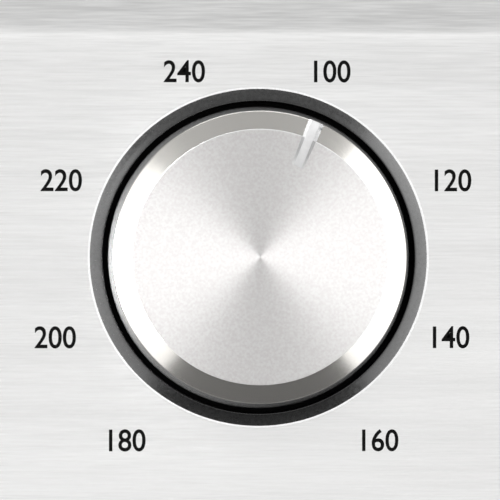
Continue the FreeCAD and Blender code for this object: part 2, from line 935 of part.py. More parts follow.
def rack_parts():
    """The wire rack: a round-cornered loop, ribs from front to back, a cross wire and two strike plates."""
    left = cavity_left + rack_side_gap + rack_wire
    right = cavity_right - rack_side_gap - rack_wire
    front = rack_front_y
    back = cavity_back - rack_back_gap - rack_wire
    r = rack_corner
    k = r * (1 - math.sqrt(0.5))

    def at(x, y):
        return Vector(x, y, rack_z)

    def line(x0, y0, x1, y1):
        return Part.LineSegment(at(x0, y0), at(x1, y1)).toShape()

    def arc(x0, y0, xm, ym, x1, y1):
        return Part.Arc(at(x0, y0), at(xm, ym), at(x1, y1)).toShape()

    path = Part.Wire(
        [
            line(left, front + r, left, back - r),
            arc(left, back - r, left + k, back - k, left + r, back),
            line(left + r, back, right - r, back),
            arc(right - r, back, right - k, back - k, right, back - r),
            line(right, back - r, right, front + r),
            arc(right, front + r, right - k, front + k, right - r, front),
            line(right - r, front, left + r, front),
            arc(left + r, front, left + k, front + k, left, front + r),
        ]
    )
    section = Part.Wire([Part.Circle(at(left, front + r), BACK, rack_wire).toShape()])
    pieces = [path.makePipeShell([section], True, False)]
    spacing = (right - left) / (rack_ribs + 1)
    for number in range(rack_ribs):
        pieces.append(rod(rack_rib_wire, at(left + spacing * (number + 1), front), BACK, back - front))
    sunk = at(left, (front + back) / 2) - UP * (rack_wire - rack_rib_wire)
    pieces.append(rod(rack_rib_wire, sunk, RIGHT, right - left))
    half = strike_size / 2
    y0 = front - rack_wire
    for x in (window_left - magnet_inset, window_right + magnet_inset):
        pieces.append(block(x - half, x + half, y0, y0 + strike_sheet, rack_z - half, rack_z + half))
    return {"wire_rack": joined(pieces)}


def tray_parts():
    """The crumb tray, its front with a finger lip, and the trim that it slides through."""
    left = cavity_left + tray_side_gap
    right = cavity_right - tray_side_gap
    back = cavity_back - tray_back_gap
    face = front_y + trim_recess
    front = face + tray_front_sheet
    t = tray_sheet
    r = tray_corner
    brim = tray_z + tray_wall
    pan = rounded("z", left, right, front, back, [0, 0, r, r], tray_z, brim)
    inner = [0, 0, r - t, r - t]
    hollow = rounded("z", left + t, right - t, front + t, back - t, inner, tray_z + t, brim + 1)
    low = tray_front_low
    high = tray_front_high
    sheet = tray_front_sheet
    tip = face - tray_lip_reach
    lip_profile = [
        (front, low),
        (front, high),
        (tip, high),
        (tip, high - tray_lip_drop),
        (tip + sheet, high - tray_lip_drop),
        (tip + sheet, high - sheet),
        (face, high - sheet),
        (face, low),
    ]
    s = door_skin
    c = door_corner
    gap = trim_mouth_gap
    trim = rounded("y", door_left, door_right, fascia_bottom, trim_top, [c, 0, 0, c], face, frame_y)
    inside = block(door_left + s, door_right - s, face + s, frame_y + 1, fascia_bottom + s, trim_top - s)
    mouth = block(left - gap, right + gap, face - 1, face + s + 1, low - gap, high + gap)
    return {
        "crumb_tray": pan.cut(hollow),
        "tray_front": prism("x", lip_profile, left, right),
        "lower_trim": less(trim, [inside, mouth]),
    }


def leaned(shape):
    """Turn a piece back about the fascia's bend, on to the leaning upper part."""
    return shape.rotated(Vector(0, front_y, seam_z), RIGHT, -fascia_lean)


def fascia_outline(inset, back):
    """The side outline of the fascia: upright, a soft bend, then leaning back, closed along its back."""
    face = front_y + inset
    bottom = fascia_bottom + inset
    top = fascia_top - inset
    radius = fascia_bend + inset
    bend_z = seam_z - inset * math.tan(lean / 2)
    tangent = radius * math.tan(lean / 2)
    low = Vector(0, face, bend_z - tangent)
    middle = low + BACK * radius * (1 - math.cos(lean / 2)) + UP * radius * math.sin(lean / 2)
    high = low + BACK * radius * (1 - math.cos(lean)) + UP * radius * math.sin(lean)
    top_front = Vector(0, face + (top - bend_z) * math.tan(lean), top)
    corners = [high, top_front, Vector(0, back, top), Vector(0, back, bottom), Vector(0, face, bottom), low]
    edges = [Part.Arc(low, middle, high).toShape()]
    edges += [Part.LineSegment(a, b).toShape() for a, b in zip(corners, corners[1:])]
    return Part.Face(Part.Wire(edges))


def button_places():
    """Centre and width of each button."""
    offset = (pair_button_width + pair_button_gap) / 2
    left = column_mid - offset
    right = column_mid + offset
    return {
        "temperature_up_button": (left, upper_pair_z, pair_button_width),
        "temperature_down_button": (left, lower_pair_z, pair_button_width),
        "time_up_button": (right, upper_pair_z, pair_button_width),
        "time_down_button": (right, lower_pair_z, pair_button_width),
        "start_button": (column_mid, start_z, start_button_width),
    }


def display_shape(grow, radius, y0, y1):
    """The display window's outline, made larger on every side and leaned back with the fascia."""
    low = seam_z + window_rise - grow
    high = low + window_height + 2 * grow
    half = window_width / 2 + grow
    return leaned(rounded("y", column_mid - half, column_mid + half, low, high, radius, y0, y1))


def fascia_part():
    """The brushed front sheet of the column, open at the back."""
    t = fascia_sheet
    radii = [door_corner, door_corner, door_outer_corner, door_corner]
    sides = [
        (0, frame_y, fascia_left, fascia_right, radii),
        (t, frame_y + 1, fascia_left + t, fascia_right - t, [r - t for r in radii]),
    ]
    shapes = []
    for inset, back, x0, x1, corner_radii in sides:
        body = fascia_outline(inset, back).extrude(RIGHT * (x1 - x0)).translated(RIGHT * x0)
        z0 = fascia_bottom + inset
        z1 = fascia_top - inset
        outline = rounded("y", x0, x1, z0, z1, corner_radii, front_y - 1, back + 1)
        shapes.append(body.common(outline))
    body, core = shapes
    dial = Vector(column_mid, front_y - 1, dial_z)
    cuts = [core, rod(ring_inner_radius + ring_sleeve_wall, dial, BACK, t + 2)]
    gap = 2 * button_clearance
    for x, z, width in button_places().values():
        cuts.append(pill("y", x, z, width + gap, button_height + gap, front_y - 1, front_y + t + 1))
    cuts.append(display_shape(0, display_corner, front_y - 2, front_y + t + 2))
    return less(body, cuts)


def display_parts():
    """Lens, display module and the holder that keeps them against the fascia."""
    sheet_back = front_y + fascia_sheet
    module_y = sheet_back + lens_thickness
    module_back = module_y + module_depth
    c = display_corner
    lens = display_shape(-lens_fit, c - lens_fit, front_y + lens_fit, sheet_back)
    lens_back = display_shape(lens_rim, c + 1, sheet_back, module_y)
    holder = display_shape(holder_rim, c + 2, sheet_back, module_back)
    lens_hole = display_shape(lens_rim, c + 1, sheet_back - 1, module_y)
    module_hole = display_shape(module_rim, c, module_y - 1, module_back + 1)
    return {
        "display_window": joined([lens, lens_back]),
        "display_module": display_shape(module_rim, c, module_y, module_back),
        "display_holder": less(holder, [lens_hole, module_hole]),
    }


def housing_part(x0, x1, z0, z1):
    """The moulding behind the fascia: plate, rim, dial well and board bosses."""
    plate_y = front_y + fascia_sheet
    w = housing_wall
    shell = rounded("y", x0, x1, z0, z1, 2, plate_y, board_y - housing_back_gap)
    hollow = rounded("y", x0 + w, x1 - w, z0 + w, z1 - w, 1, plate_y + housing_plate, board_y)
    well = Vector(column_mid, plate_y, dial_z)
    well_bore = ring_inner_radius + ring_sleeve_wall + screw_hole_gap
    pieces = [shell.cut(hollow), rod(well_bore + well_wall, well, BACK, well_depth)]
    for x in (x0 + boss_inset, x1 - boss_inset):
        for z in (z0 + boss_inset, z1 - boss_inset):
            start = Vector(x, plate_y + housing_plate / 2, z)
            pieces.append(rod(boss_radius, start, BACK, board_y - start.y))
    cuts = [
        rod(well_bore, well - BACK, BACK, 1 + well_depth - well_floor),
        rod(bushing_radius + button_clearance, well, BACK, well_depth + 1),
    ]
    gap = 2 * button_clearance
    for x, z, width in button_places().values():
        y1 = plate_y + housing_plate + 1
        cuts.append(pill("y", x, z, width + gap, button_height + gap, plate_y - 1, y1))
    return less(joined(pieces), cuts)


def push_button(x, z, width):
    """A pill-shaped cap with a flange behind the housing plate and a stem that enters its switch."""
    flange_y = front_y + fascia_sheet + housing_plate + moving_clearance
    cap = pill("y", x, z, width, button_height, front_y - button_reach, flange_y)
    front_edges = [e for e in cap.Edges if e.BoundBox.YMax < front_y - button_reach + 0.01]
    cap = cap.makeChamfer(button_edge, front_edges)
    grow = 2 * (button_clearance + button_flange)
    flange = pill("y", x, z, width + grow, button_height + grow, flange_y, flange_y + button_flange_depth)
    stem_end = board_y - switch_height + moving_clearance
    stem = rod(button_stem_radius, Vector(x, flange_y, z), BACK, stem_end - flange_y)
    return joined([cap, flange, stem])


def column_parts():
    """Fascia, display, housing, board, switches and buttons."""
    parts = display_parts()
    parts["control_fascia"] = fascia_part()
    edge = fascia_sheet + housing_gap
    x0 = fascia_left + edge
    x1 = fascia_right - edge
    z0 = fascia_bottom + edge
    z1 = seam_z - housing_wall * 2
    parts["control_housing"] = housing_part(x0, x1, z0, z1)
    board_back = board_y + board_sheet
    parts["control_board"] = rounded("y", x0, x1, z0, z1, 2, board_y, board_back)
    chips = []
    chip = switch_size * 2
    low = dial_z - chip / 2
    for x in (column_mid - chip * 1.5, column_mid + chip):
        chips.append(block(x, x + chip, board_back, board_back + board_sheet, low, low + chip))
    parts["board_chips"] = group(chips)
    switches = []
    half = switch_size / 2
    for name, (x, z, width) in button_places().items():
        switch_y = board_y - switch_height
        body = block(x - half, x + half, switch_y, board_y, z - half, z + half)
        bore = rod(button_stem_radius + button_stem_gap, Vector(x, switch_y - 1, z), BACK, switch_height)
        switches.append(body.cut(bore))
        parts[name] = push_button(x, z, width)
    parts["tact_switches"] = group(switches)
    return parts


def pointer_notch(centre):
    """The cutter for the pointer: a floor that falls outwards, between walls that lean open."""
    start = knob_face_radius - notch_run
    rim_drop = knob_chamfer_depth + notch_rim_depth
    fall = (rim_drop - notch_end_depth) / (knob_rim_radius - start)
    stations = []
    for radius, surface in ((start, 0), (knob_face_radius, 0), (knob_rim_radius, knob_chamfer_depth)):
        drop = notch_end_depth + fall * (radius - start)
        share = (radius - start) / (knob_rim_radius - start)
        wall = notch_end_wall + share * (notch_rim_wall - notch_end_wall)
        stations.append((radius, knob_reach - drop, drop - surface, wall))
    radius, floor, depth, wall = stations[-1]
    stations.append((radius + 1, floor - fall, depth, wall))
    sections = []
    for radius, floor, depth, wall in stations:
        low = notch_width / 2
        high = low + 2 * wall
        corners = [(-high, floor + 2 * depth), (-low, floor), (low, floor), (high, floor + 2 * depth)]
        points = [centre + UP * radius + RIGHT * across + OUT * along for across, along in corners]
        sections.append(Part.makePolygon(points + points[:1]))
    return Part.makeLoft(sections, True, True).rotated(centre, BACK, notch_angle)


def knob_cap_part(centre):
    """The spun metal cap: tapered skirt, wide chamfer, flat face and a ramped pointer notch."""
    rim = knob_reach - knob_chamfer_depth
    face_back = knob_reach - knob_face_wall
    profile = [
        (0, knob_reach),
        (knob_face_radius, knob_reach),
        (knob_rim_radius, rim),
        (knob_skirt_radius, -knob_tuck),
        (knob_skirt_radius - knob_wall, -knob_tuck),
        (knob_rim_radius - knob_wall, face_back - knob_wall),
        (knob_face_radius - knob_wall / 2, face_back),
        (0, face_back),
    ]
    return turned(profile, centre, OUT, RIGHT).cut(pointer_notch(centre))


def knob_core_part(centre, shaft_hole):
    """The moulded hub inside the cap, with a disc, ribs and a D-shaped bore."""
    front = knob_reach - knob_face_wall
    radius = knob_face_radius - 2 * knob_wall
    profile = [
        (0, front),
        (radius, front),
        (radius, front - hub_sheet),
        (hub_radius, front - hub_sheet),
        (hub_radius, 1),
        (0, 1),
    ]
    pieces = [turned(profile, centre, OUT, RIGHT)]
    half = hub_rib_sheet / 2
    for number in range(hub_ribs):
        rib = block(hub_radius / 2, radius, -front, -front / 2, -half, half).translated(centre)
        pieces.append(rib.rotated(centre, BACK, 360 * number / hub_ribs))
    return joined(pieces).cut(shaft_hole)


def knob_parts():
    """The dial: cap, hub and ring, and the encoder that it turns."""
    centre = Vector(column_mid, front_y, dial_z)
    shaft_reach = knob_reach - knob_face_wall - hub_sheet
    shaft_end = board_depth - encoder_depth / 2
    shaft = rod(shaft_radius, centre + BACK * shaft_end, OUT, shaft_end + shaft_reach)
    flat_z = dial_z + shaft_radius - shaft_flat
    flat = block(
        column_mid - shaft_radius,
        column_mid + shaft_radius,
        front_y - shaft_reach - 1,
        front_y,
        flat_z,
        flat_z + shaft_flat + 1,
    )
    shaft = shaft.cut(flat)
    well_y = front_y + fascia_sheet + well_depth
    switch_y = board_y - encoder_depth
    half = encoder_size / 2
    body = block(column_mid - half, column_mid + half, switch_y, board_y, dial_z - half, dial_z + half)
    bushing_y = well_y - bushing_reach
    bushing = rod(bushing_radius, Vector(column_mid, bushing_y, dial_z), BACK, switch_y - bushing_y)
    bore_length = front_y + shaft_end + moving_clearance - bushing_y + 1
    bore = rod(shaft_radius + pin_clearance, Vector(column_mid, bushing_y - 1, dial_z), BACK, bore_length)
    nut_back = well_y - well_floor
    corners = []
    for number in range(6):
        angle = math.pi / 3 * number
        corners.append((column_mid + nut_radius * math.cos(angle), dial_z + nut_radius * math.sin(angle)))
    nut = prism("y", corners, nut_back - nut_height, nut_back)
    sleeve_radius = ring_inner_radius + ring_sleeve_wall
    ring_profile = [
        (ring_inner_radius, ring_height),
        (ring_outer_radius - ring_lip, ring_lip_height),
        (ring_outer_radius, ring_lip_height),
        (ring_outer_radius, 0),
        (sleeve_radius, 0),
        (sleeve_radius, -ring_sleeve_depth),
        (ring_inner_radius, -ring_sleeve_depth),
    ]
    nut_bore = rod(bushing_radius, Vector(column_mid, nut_back + 1, dial_z), OUT, nut_height + 2)
    return {
        "knob_cap": knob_cap_part(centre),
        "knob_core": knob_core_part(centre, shaft),
        "knob_ring": turned(ring_profile, centre, OUT, RIGHT),
        "encoder_shaft": shaft,
        "encoder_body": joined([body, bushing]).cut(bore),
        "encoder_nut": nut.cut(nut_bore),
    }


def board_components(face, y0, y1, z0, z1):
    """Relays, transformer and capacitors on the power board."""
    relays = []
    for number in range(3):
        y = y0 + relay_length / 2 + relay_pitch * number
        z = z1 - 2 * relay_height
        relays.append(rounded("x", y, y + relay_length, z, z + relay_height, 0, face, face + relay_depth))
    ty = y1 - transformer_length - standoff_inset
    tz = z0 + power_board_height / 2 - transformer_height
    wy = ty + (transformer_length - winding_length) / 2
    wz = tz - (winding_height - transformer_height) / 2
    ty1 = ty + transformer_length
    tz1 = tz + transformer_height
    core_face = face + core_depth
    winding_face = core_face + winding_depth
    core = rounded("x", ty, ty1, tz, tz1, 0, face, core_face)
    winding = rounded("x", wy, wy + winding_length, wz, wz + winding_height, 4, core_face, winding_face)
    cap = rounded("x", ty, ty1, tz, tz1, 0, winding_face, winding_face + core_depth / 2)
    cans = []
    r = capacitor_radius
    for number in range(3):
        foot = Vector(face, y0 + 2 * capacitor_pitch + capacitor_pitch * number - r, z0 + 2 * r)
        cans.append(rod(r, foot, RIGHT, capacitor_length))
    return {
        "relays": group(relays),
        "transformer": joined([core, winding, cap]),
        "capacitors": group(cans),
    }


def power_parts():
    """Heat shield, power board and what stands on it, the ribbon cable and the mains terminals."""
    shield_x = column_x - shield_gap
    t = case_sheet
    shield = block(shield_x, shield_x + t, liner_y, rear_y, floor_z, top_z - shield_roof_gap)
    foot_y0 = liner_y + 2 * panel_flange
    foot = block(shield_x, shield_x + shield_foot, foot_y0, rear_y - 2 * panel_flange, floor_z, floor_z + t)
    notches = []
    high = floor_z + panel_sheet + t
    for y in (liner_y, rear_y - panel_flange):
        notches.append(block(shield_x - 1, shield_x + t + 1, y - 1, y + panel_flange + 1, base_z, high))

    board_x = shield_x + t + standoff_length
    face = board_x + board_sheet
    y0 = frame_y + power_board_inset
    y1 = y0 + power_board_length
    z0 = base_z + power_board_rise
    z1 = z0 + power_board_height
    parts = board_components(face, y0, y1, z0, z1)
    parts["heat_shield"] = less(joined([shield, foot]), notches)
    parts["power_board"] = rounded("x", y0, y1, z0, z1, 2, board_x, face)
    i = standoff_inset
    places = [Vector(shield_x + t, y, z) for y in (y0 + i, y1 - i) for z in (z0 + i, z1 - i)]
    standoffs = [rod(standoff_radius, place, RIGHT, standoff_length) for place in places]
    parts["board_standoffs"] = group(standoffs)

    s = ribbon_sheet
    ribbon_x = column_mid - 2 * encoder_size
    ribbon_y = board_y + board_sheet
    turn_y = ribbon_y + ribbon_width
    profile = [
        (ribbon_x, ribbon_y),
        (ribbon_x + s, ribbon_y),
        (ribbon_x + s, turn_y + s),
        (face + 4 * s, y0 + 3 * s),
        (face, y0 + 3 * s),
        (face, y0 + 2 * s),
        (face + 3 * s, y0 + 2 * s),
        (ribbon_x, turn_y),
    ]
    parts["ribbon_cable"] = prism("z", profile, dial_z - encoder_size - ribbon_width, dial_z - encoder_size)

    gland = gland_place()
    x0 = gland.x - terminal_length / 2
    y2 = back_y - foot_inset_y - foot_radius
    terminal = block(x0, x0 + terminal_length, y2 - terminal_depth, y2, floor_z, floor_z + terminal_height)
    pitch = terminal_length / 3
    wells = []
    for number in range(3):
        centre = Vector(x0 + pitch * (number + 0.5), y2 - terminal_depth / 2, floor_z + terminal_height / 2)
        wells.append(rod(screw_radius + 1, centre, UP, terminal_height))
    parts["terminal_block"] = less(terminal, wells)
    return parts


os.makedirs("parts", exist_ok=True)
for make_parts in (
    case_parts,
    foot_parts,
    chamber_parts,
    hinge_parts,
    door_parts,
    rack_parts,
    tray_parts,
    column_parts,
    knob_parts,
    power_parts,
):
    for node, shape in make_parts().items():
        shape.exportStep("parts/" + node + ".step")
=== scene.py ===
"""The looks of the counter-top mini oven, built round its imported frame. Metres, in the frame's own axes."""

import json
import math

import bmesh
import bpy
from mathutils import Matrix, Vector


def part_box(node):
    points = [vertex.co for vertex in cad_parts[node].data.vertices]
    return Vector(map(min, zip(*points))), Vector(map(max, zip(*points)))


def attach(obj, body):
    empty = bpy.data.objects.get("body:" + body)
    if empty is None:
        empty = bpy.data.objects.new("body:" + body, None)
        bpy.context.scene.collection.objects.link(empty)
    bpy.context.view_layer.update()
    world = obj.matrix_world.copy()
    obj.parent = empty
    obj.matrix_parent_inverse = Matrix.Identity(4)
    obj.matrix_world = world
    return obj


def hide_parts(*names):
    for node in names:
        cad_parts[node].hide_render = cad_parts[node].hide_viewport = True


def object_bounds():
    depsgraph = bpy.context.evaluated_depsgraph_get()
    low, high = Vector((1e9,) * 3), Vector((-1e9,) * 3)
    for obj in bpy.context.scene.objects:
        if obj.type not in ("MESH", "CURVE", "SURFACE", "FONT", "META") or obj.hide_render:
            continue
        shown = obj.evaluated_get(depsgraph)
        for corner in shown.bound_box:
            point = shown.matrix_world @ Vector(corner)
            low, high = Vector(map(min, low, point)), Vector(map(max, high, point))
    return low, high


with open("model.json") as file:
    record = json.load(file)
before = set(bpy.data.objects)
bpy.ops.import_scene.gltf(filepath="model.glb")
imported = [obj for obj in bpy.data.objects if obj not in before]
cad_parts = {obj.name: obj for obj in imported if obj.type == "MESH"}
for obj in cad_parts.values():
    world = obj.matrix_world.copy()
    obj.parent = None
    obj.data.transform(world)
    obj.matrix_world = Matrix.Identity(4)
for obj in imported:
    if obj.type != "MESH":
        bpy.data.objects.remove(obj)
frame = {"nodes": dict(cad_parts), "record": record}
cad_box = [list(corner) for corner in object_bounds()]

MM = 0.001
MICRON = 0.000001
RIGHT = Vector((1, 0, 0))
OUT = Vector((0, -1, 0))
UP = Vector((0, 0, 1))

# The dial's place, read from the frame
cap_low, cap_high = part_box("knob_cap")
ring_low, ring_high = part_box("knob_ring")
fascia_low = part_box("control_fascia")[0]
dial_centre = Vector(((cap_low.x + cap_high.x) / 2, fascia_low.y, (cap_low.z + cap_high.z) / 2))

# Sizes of the dial, from its box or as in the part's source. The taper, the chamfer's width and the ring's
# lip differ from the source by up to 0.2 mm, to follow the photograph. The soft edges are the scene's own.
skirt_radius = (cap_high.x - cap_low.x) / 2
reach = dial_centre.y - cap_low.y
tuck = cap_high.y - dial_centre.y
taper = 1.0 * MM
chamfer_width = 2.85 * MM
chamfer_depth = 2.2 * MM
cap_wall = 1.2 * MM
face_wall = 3.4 * MM
rim_radius = skirt_radius - taper
face_radius = rim_radius - chamfer_width
cap_soft = 0.14 * MM
rim_soft = 0.45 * MM

# The painted highlight along the face's edge: half its width, and how low it goes as a share of its radius
face_edge_width = 0.06 * MM
face_edge_lowest = -0.66

# The pointer notch
notch_angle = math.radians(22.5)
notch_width = 1.25 * MM
notch_run = 4.4 * MM
notch_start = face_radius - notch_run
notch_end_depth = 0.2 * MM
notch_rim_depth = 0.42 * MM
notch_end_wall = 0.3 * MM
notch_rim_wall = 0.6 * MM
notch_overrun = 1.0 * MM
notch_steps = 5

# The ring round the dial, and the painted shade and light across it
ring_radius = (ring_high.x - ring_low.x) / 2
ring_sleeve = ring_high.y - dial_centre.y
ring_width = 2.2 * MM
ring_height = 1.5 * MM
ring_lip = 0.32 * MM
ring_lip_height = 0.22 * MM
ring_bulge = 0.09 * MM
ring_bulge_radius = 3.2 * MM
ring_wall = 0.8 * MM
ring_soft = 0.12 * MM
ring_inner = ring_radius - ring_width
ring_outer = ring_radius - ring_lip
ring_edge_width = 0.4 * MM
ring_edge_tone = 0.35
ring_inner_tone = 0.84
ring_tone_rise = 0.32

# The fascia's fold: its height over the dial's axis, and the painted highlight along it
fold_height = 33.4 * MM
fold_highlight_below = 1.7 * MM
fold_highlight_line = 0.1 * MM
fold_highlight_above = 0.6 * MM
fold_highlight_gain = 1.10

# The photograph's frame at the fascia, and where its camera stands
view_width = 75 * MM
view_distance = 700 * MM
view_from = Vector((-14.6 * MM, 0, -2 * MM))
view_centre = Vector((-1.25 * MM, 0, 1.1 * MM))
view_pixels = 500
pixel = view_width / view_pixels
backdrop_colour = (0.80, 0.80, 0.80)

# The printed numbers: their size, and the place of each in pixels of the photograph from the dial's centre
label_height = 3.35 * MM
label_stretch = 0.92
label_weight = 0.012
label_extrude = 0.01
label_thickness = 0.03 * MM
label_places = {
    "100": (74, 186),
    "120": (195, 77),
    "140": (193, -80),
    "160": (122, -183),
    "180": (-131, -183),
    "200": (-203, -80),
    "220": (-197, 77),
    "240": (-74, 186),
}

# Buttons: the flange is as in the part's source
button_flange_growth = 1.6 * MM
button_flange_depth = 3.5 * MM
button_flange_sheet = 1.2 * MM
button_crown = 0.35 * MM
button_crown_shares = (0.97, 0.8, 0.6, 0.4, 0.25)
button_soft = 0.9 * MM
button_soft_steps = 5
mark_size = 1.9 * MM
mark_rise = 0.03 * MM
mark_depth = 0.12 * MM
sign_gap = 1.7 * MM
sign_stroke = 0.3 * MM
clock_radius = 1.6 * MM
clock_hands = (1.0 * MM, 0.7 * MM)
bulb_radius = 0.85 * MM
bulb_drop = 1.1 * MM
stem_top = 1.5 * MM
stem_width = 0.75 * MM

# The handle's ends
handle_inner_share = 0.55
handle_dish = 0.4 * MM
handle_dish_soft = 0.3 * MM
handle_end_soft = 1.6 * MM

# Feet and screws, with radii as in the part's source
foot_radius = 15.0 * MM
foot_tip_radius = 12.5 * MM
foot_top_soft = 0.5 * MM
pad_radius = 10.0 * MM
pad_rib = 0.5 * MM
screw_pocket_radius = 4.5 * MM
screw_radius = 1.9 * MM
screw_head_radius = 3.5 * MM
screw_crown_radius = 2.4 * MM
screw_crown_soft = 0.5 * MM
screw_head_soft = 0.15 * MM
screw_head_height = 2.2 * MM
screw_spacing = 20.0 * MM
screw_turn = math.radians(37)

# The side of a foot: how far out of its tip's radius, how far over its tip, and each corner's roundness
foot_side = (
    (0, 0, 0.6 * MM),
    (0.55 * MM, 4.0 * MM, 0.3 * MM),
    (-0.3 * MM, 4.4 * MM, 0.15 * MM),
    (-0.2 * MM, 5.4 * MM, 0.15 * MM),
    (0.8 * MM, 5.8 * MM, 0.3 * MM),
)

# The underside of a pad: how far inside its radius, how far over the table, and each corner's roundness
pad_side = (
    (2.4 * MM, pad_rib, 0.2 * MM),
    (2.0 * MM, 0, 0.2 * MM),
    (0.2 * MM, 0, 0.8 * MM),
)
pad_draft = 0.1 * MM

# The cross recess in a screw: half its width, half its length and its depth, at its mouth and at its bottom
recess_levels = ((0.5 * MM, 1.95 * MM, -0.3 * MM), (0.25 * MM, 0.95 * MM, 1.4 * MM))

# Heater wires: the coils are as wide as the source's rods
coil_radius = 2.1 * MM
coil_pitch = 2.2 * MM
coil_points = 10
heater_wire_radius = 0.32 * MM

# Display digits: each row's text, height, middle and left end, and the seven bars
digit_rows = (
    ("180", 9.5 * MM, 9.0 * MM, -9.0 * MM),
    ("25:00", 12.5 * MM, -8.5 * MM, -21.0 * MM),
)
digit_bars = {
    "a": ((0, 1), (1, 1)),
    "b": ((1, 1), (1, 0)),
    "c": ((1, 0), (1, -1)),
    "d": ((0, -1), (1, -1)),
    "e": ((0, 0), (0, -1)),
    "f": ((0, 1), (0, 0)),
    "g": ((0, 0), (1, 0)),
}
digit_shapes = {"0": "abcdef", "1": "bc", "2": "abged", "5": "afgcd", "8": "abcdefg"}
digit_width = 0.48
digit_stroke = 0.10
digit_bar_share = 0.95
digit_step = 1.55
dot_share = 0.7
dot_spacing = 0.5
dot_step = 0.5
digit_slant = 0.08
digit_depth = 0.3 * MM
digit_sheet = 0.2 * MM
display_lean = math.radians(8)

# Lights: the power, height and drop of the left and the right box, for the dial and for the rest
dial_boxes = ((21, 2.15, 0.12), (25, 2.26, 0.02))
oven_boxes = ((7, 2.4, 0), (7, 2.4, 0))
side_box_reach = 1.0
side_box_out = 0.85
side_box_depth = 2.7
skirt_power = 4.8
skirt_light_left = 250 * MM
skirt_light_down = 20 * MM
skirt_light_length = 140 * MM
skirt_light_share = 0.6
skirt_aim_share = 0.45
front_power = 3.45
front_box = (1.2, 0.6)
front_box_out = 1.6
front_box_down = 0.12
back_power = 30
back_box = (2.8, 1.2)
back_box_place = (0, 2.4, 0.9)
back_box_aim = (0, 0, 0.1)
top_power = 70
case_top_power = 22
top_box = (3.4, 2.4)
top_box_place = (0, 1.3, 3.2)
top_box_aim = (0, 0.6, 0)

# The room's brightness, from straight down (0) to straight up (1)
room_levels = (
    (0.0, 0.14),
    (0.2, 0.15),
    (0.34, 0.48),
    (0.58, 0.48),
    (0.68, 0.85),
    (0.83, 0.79),
    (0.91, 0.47),
    (1.0, 0.38),
)
floor_half = 12.0
floor_fade = (1.2, 4.0)

# Directions of the brushed grain, a little off the axes so that no face loses it. The highlight is turned by
# a quarter from its tangent, and the broad noise has this share of the fine one's scale.
along_x = (1.0, 0.004, 0.009)
along_y = (0.004, 1.0, 0.009)
quarter_turn = 0.25
broad_share = 0.11

# Steps round the turned pieces and the pills, and the angles in degrees over which edges stay sharp
dial_steps = 256
handle_steps = 72
foot_steps = 56
screw_steps = 36
pill_steps = 40
cap_sharp = 24
button_sharp = 40


def node(tree, kind, inputs, **settings):
    """A shader node with its inputs set or linked."""
    made = tree.nodes.new("ShaderNode" + kind)
    for key, value in settings.items():
        setattr(made, key, value)
    for key, value in inputs.items():
        if isinstance(value, bpy.types.NodeSocket):
            tree.links.new(value, made.inputs[key])
        else:
            made.inputs[key].default_value = value
    return made


def round_dial(tree):
    """Coordinates that stay the same all round the dial: how far from its axis, and how far along it."""
    place = node(tree, "TexCoord", {}).outputs["Object"]
    spoke = node(tree, "VectorMath", {0: place, 1: dial_centre}, operation="SUBTRACT").outputs[0]
    flat = node(tree, "VectorMath", {0: spoke, 1: (1, 0, 1)}, operation="MULTIPLY").outputs[0]
    radius = node(tree, "VectorMath", {0: flat}, operation="LENGTH").outputs["Value"]
    along = node(tree, "SeparateXYZ", {0: spoke}).outputs[1]
    return node(tree, "CombineXYZ", {0: radius, 1: along, 2: 0.0}).outputs[0]


def grain(tree, scale, detail=2.0, turned=False):
    """Noise with its own scale along each axis of the object, or of the coordinates round the dial."""
    place = round_dial(tree) if turned else node(tree, "TexCoord", {}).outputs["Object"]
    mapped = node(tree, "Mapping", {"Vector": place, "Scale": scale}).outputs[0]
    settings = {"Vector": mapped, "Scale": 1.0, "Detail": detail, "Roughness": 0.5}
    return node(tree, "TexNoise", settings).outputs[0]


def spread(tree, value, low, high, start=0.3, end=0.7):
    """A value moved from the noise's usual range to another."""
    made = node(tree, "MapRange", {0: value, 1: start, 2: end, 3: low, 4: high})
    return made.outputs[0]


def blended(tree, share, first, second):
    """A mix of two colours."""
    made = node(tree, "Mix", {0: share, 6: (*first, 1), 7: (*second, 1)}, data_type="RGBA")
    return made.outputs[2]


def finish(
    name, dark, light, rough, scale, metal=0.0, bump=0.0, detail=2.0, along=None, cloud=0.5, turned=False,
    **sockets
):
    """A material whose colour, roughness and surface vary with a noise of its own, part fine, part broad."""
    material = bpy.data.materials.new(name)
    material.use_nodes = True
    tree = material.node_tree
    shader = tree.nodes["Principled BSDF"]
    fine = grain(tree, scale, detail, turned)
    coarse = grain(tree, [s * broad_share for s in scale])
    both = node(tree, "Mix", {0: cloud, 2: fine, 3: coarse}).outputs[0]
    colour = blended(tree, spread(tree, both, 0.0, 1.0, 0.35, 0.65), dark, light)
    tree.links.new(colour, shader.inputs["Base Color"])
    tree.links.new(spread(tree, fine, rough[0], rough[1]), shader.inputs["Roughness"])
    shader.inputs["Metallic"].default_value = metal
    if bump:
        raised = node(tree, "Bump", {"Strength": 1.0, "Distance": bump, "Height": fine})
        tree.links.new(raised.outputs[0], shader.inputs["Normal"])
    if along:
        shader.inputs["Anisotropic Rotation"].default_value = quarter_turn
        steady = node(tree, "CombineXYZ", {0: along[0], 1: along[1], 2: along[2]})
        tree.links.new(steady.outputs[0], shader.inputs["Tangent"])
    for socket, value in sockets.items():
        shader.inputs[socket.replace("_", " ")].default_value = value
    return material


def grey(level):
    """A colour of equal parts."""
    return (level, level, level)


def brushed_sheet(name):
    """Steel brushed along X."""
    return finish(
        name, (0.62, 0.62, 0.615), (0.79, 0.79, 0.785), (0.32, 0.40), (120, 2500, 2500), metal=1.0,
        bump=1.0 * MICRON, detail=3.0, along=along_x, cloud=0.22, Anisotropic=0.6,
    )


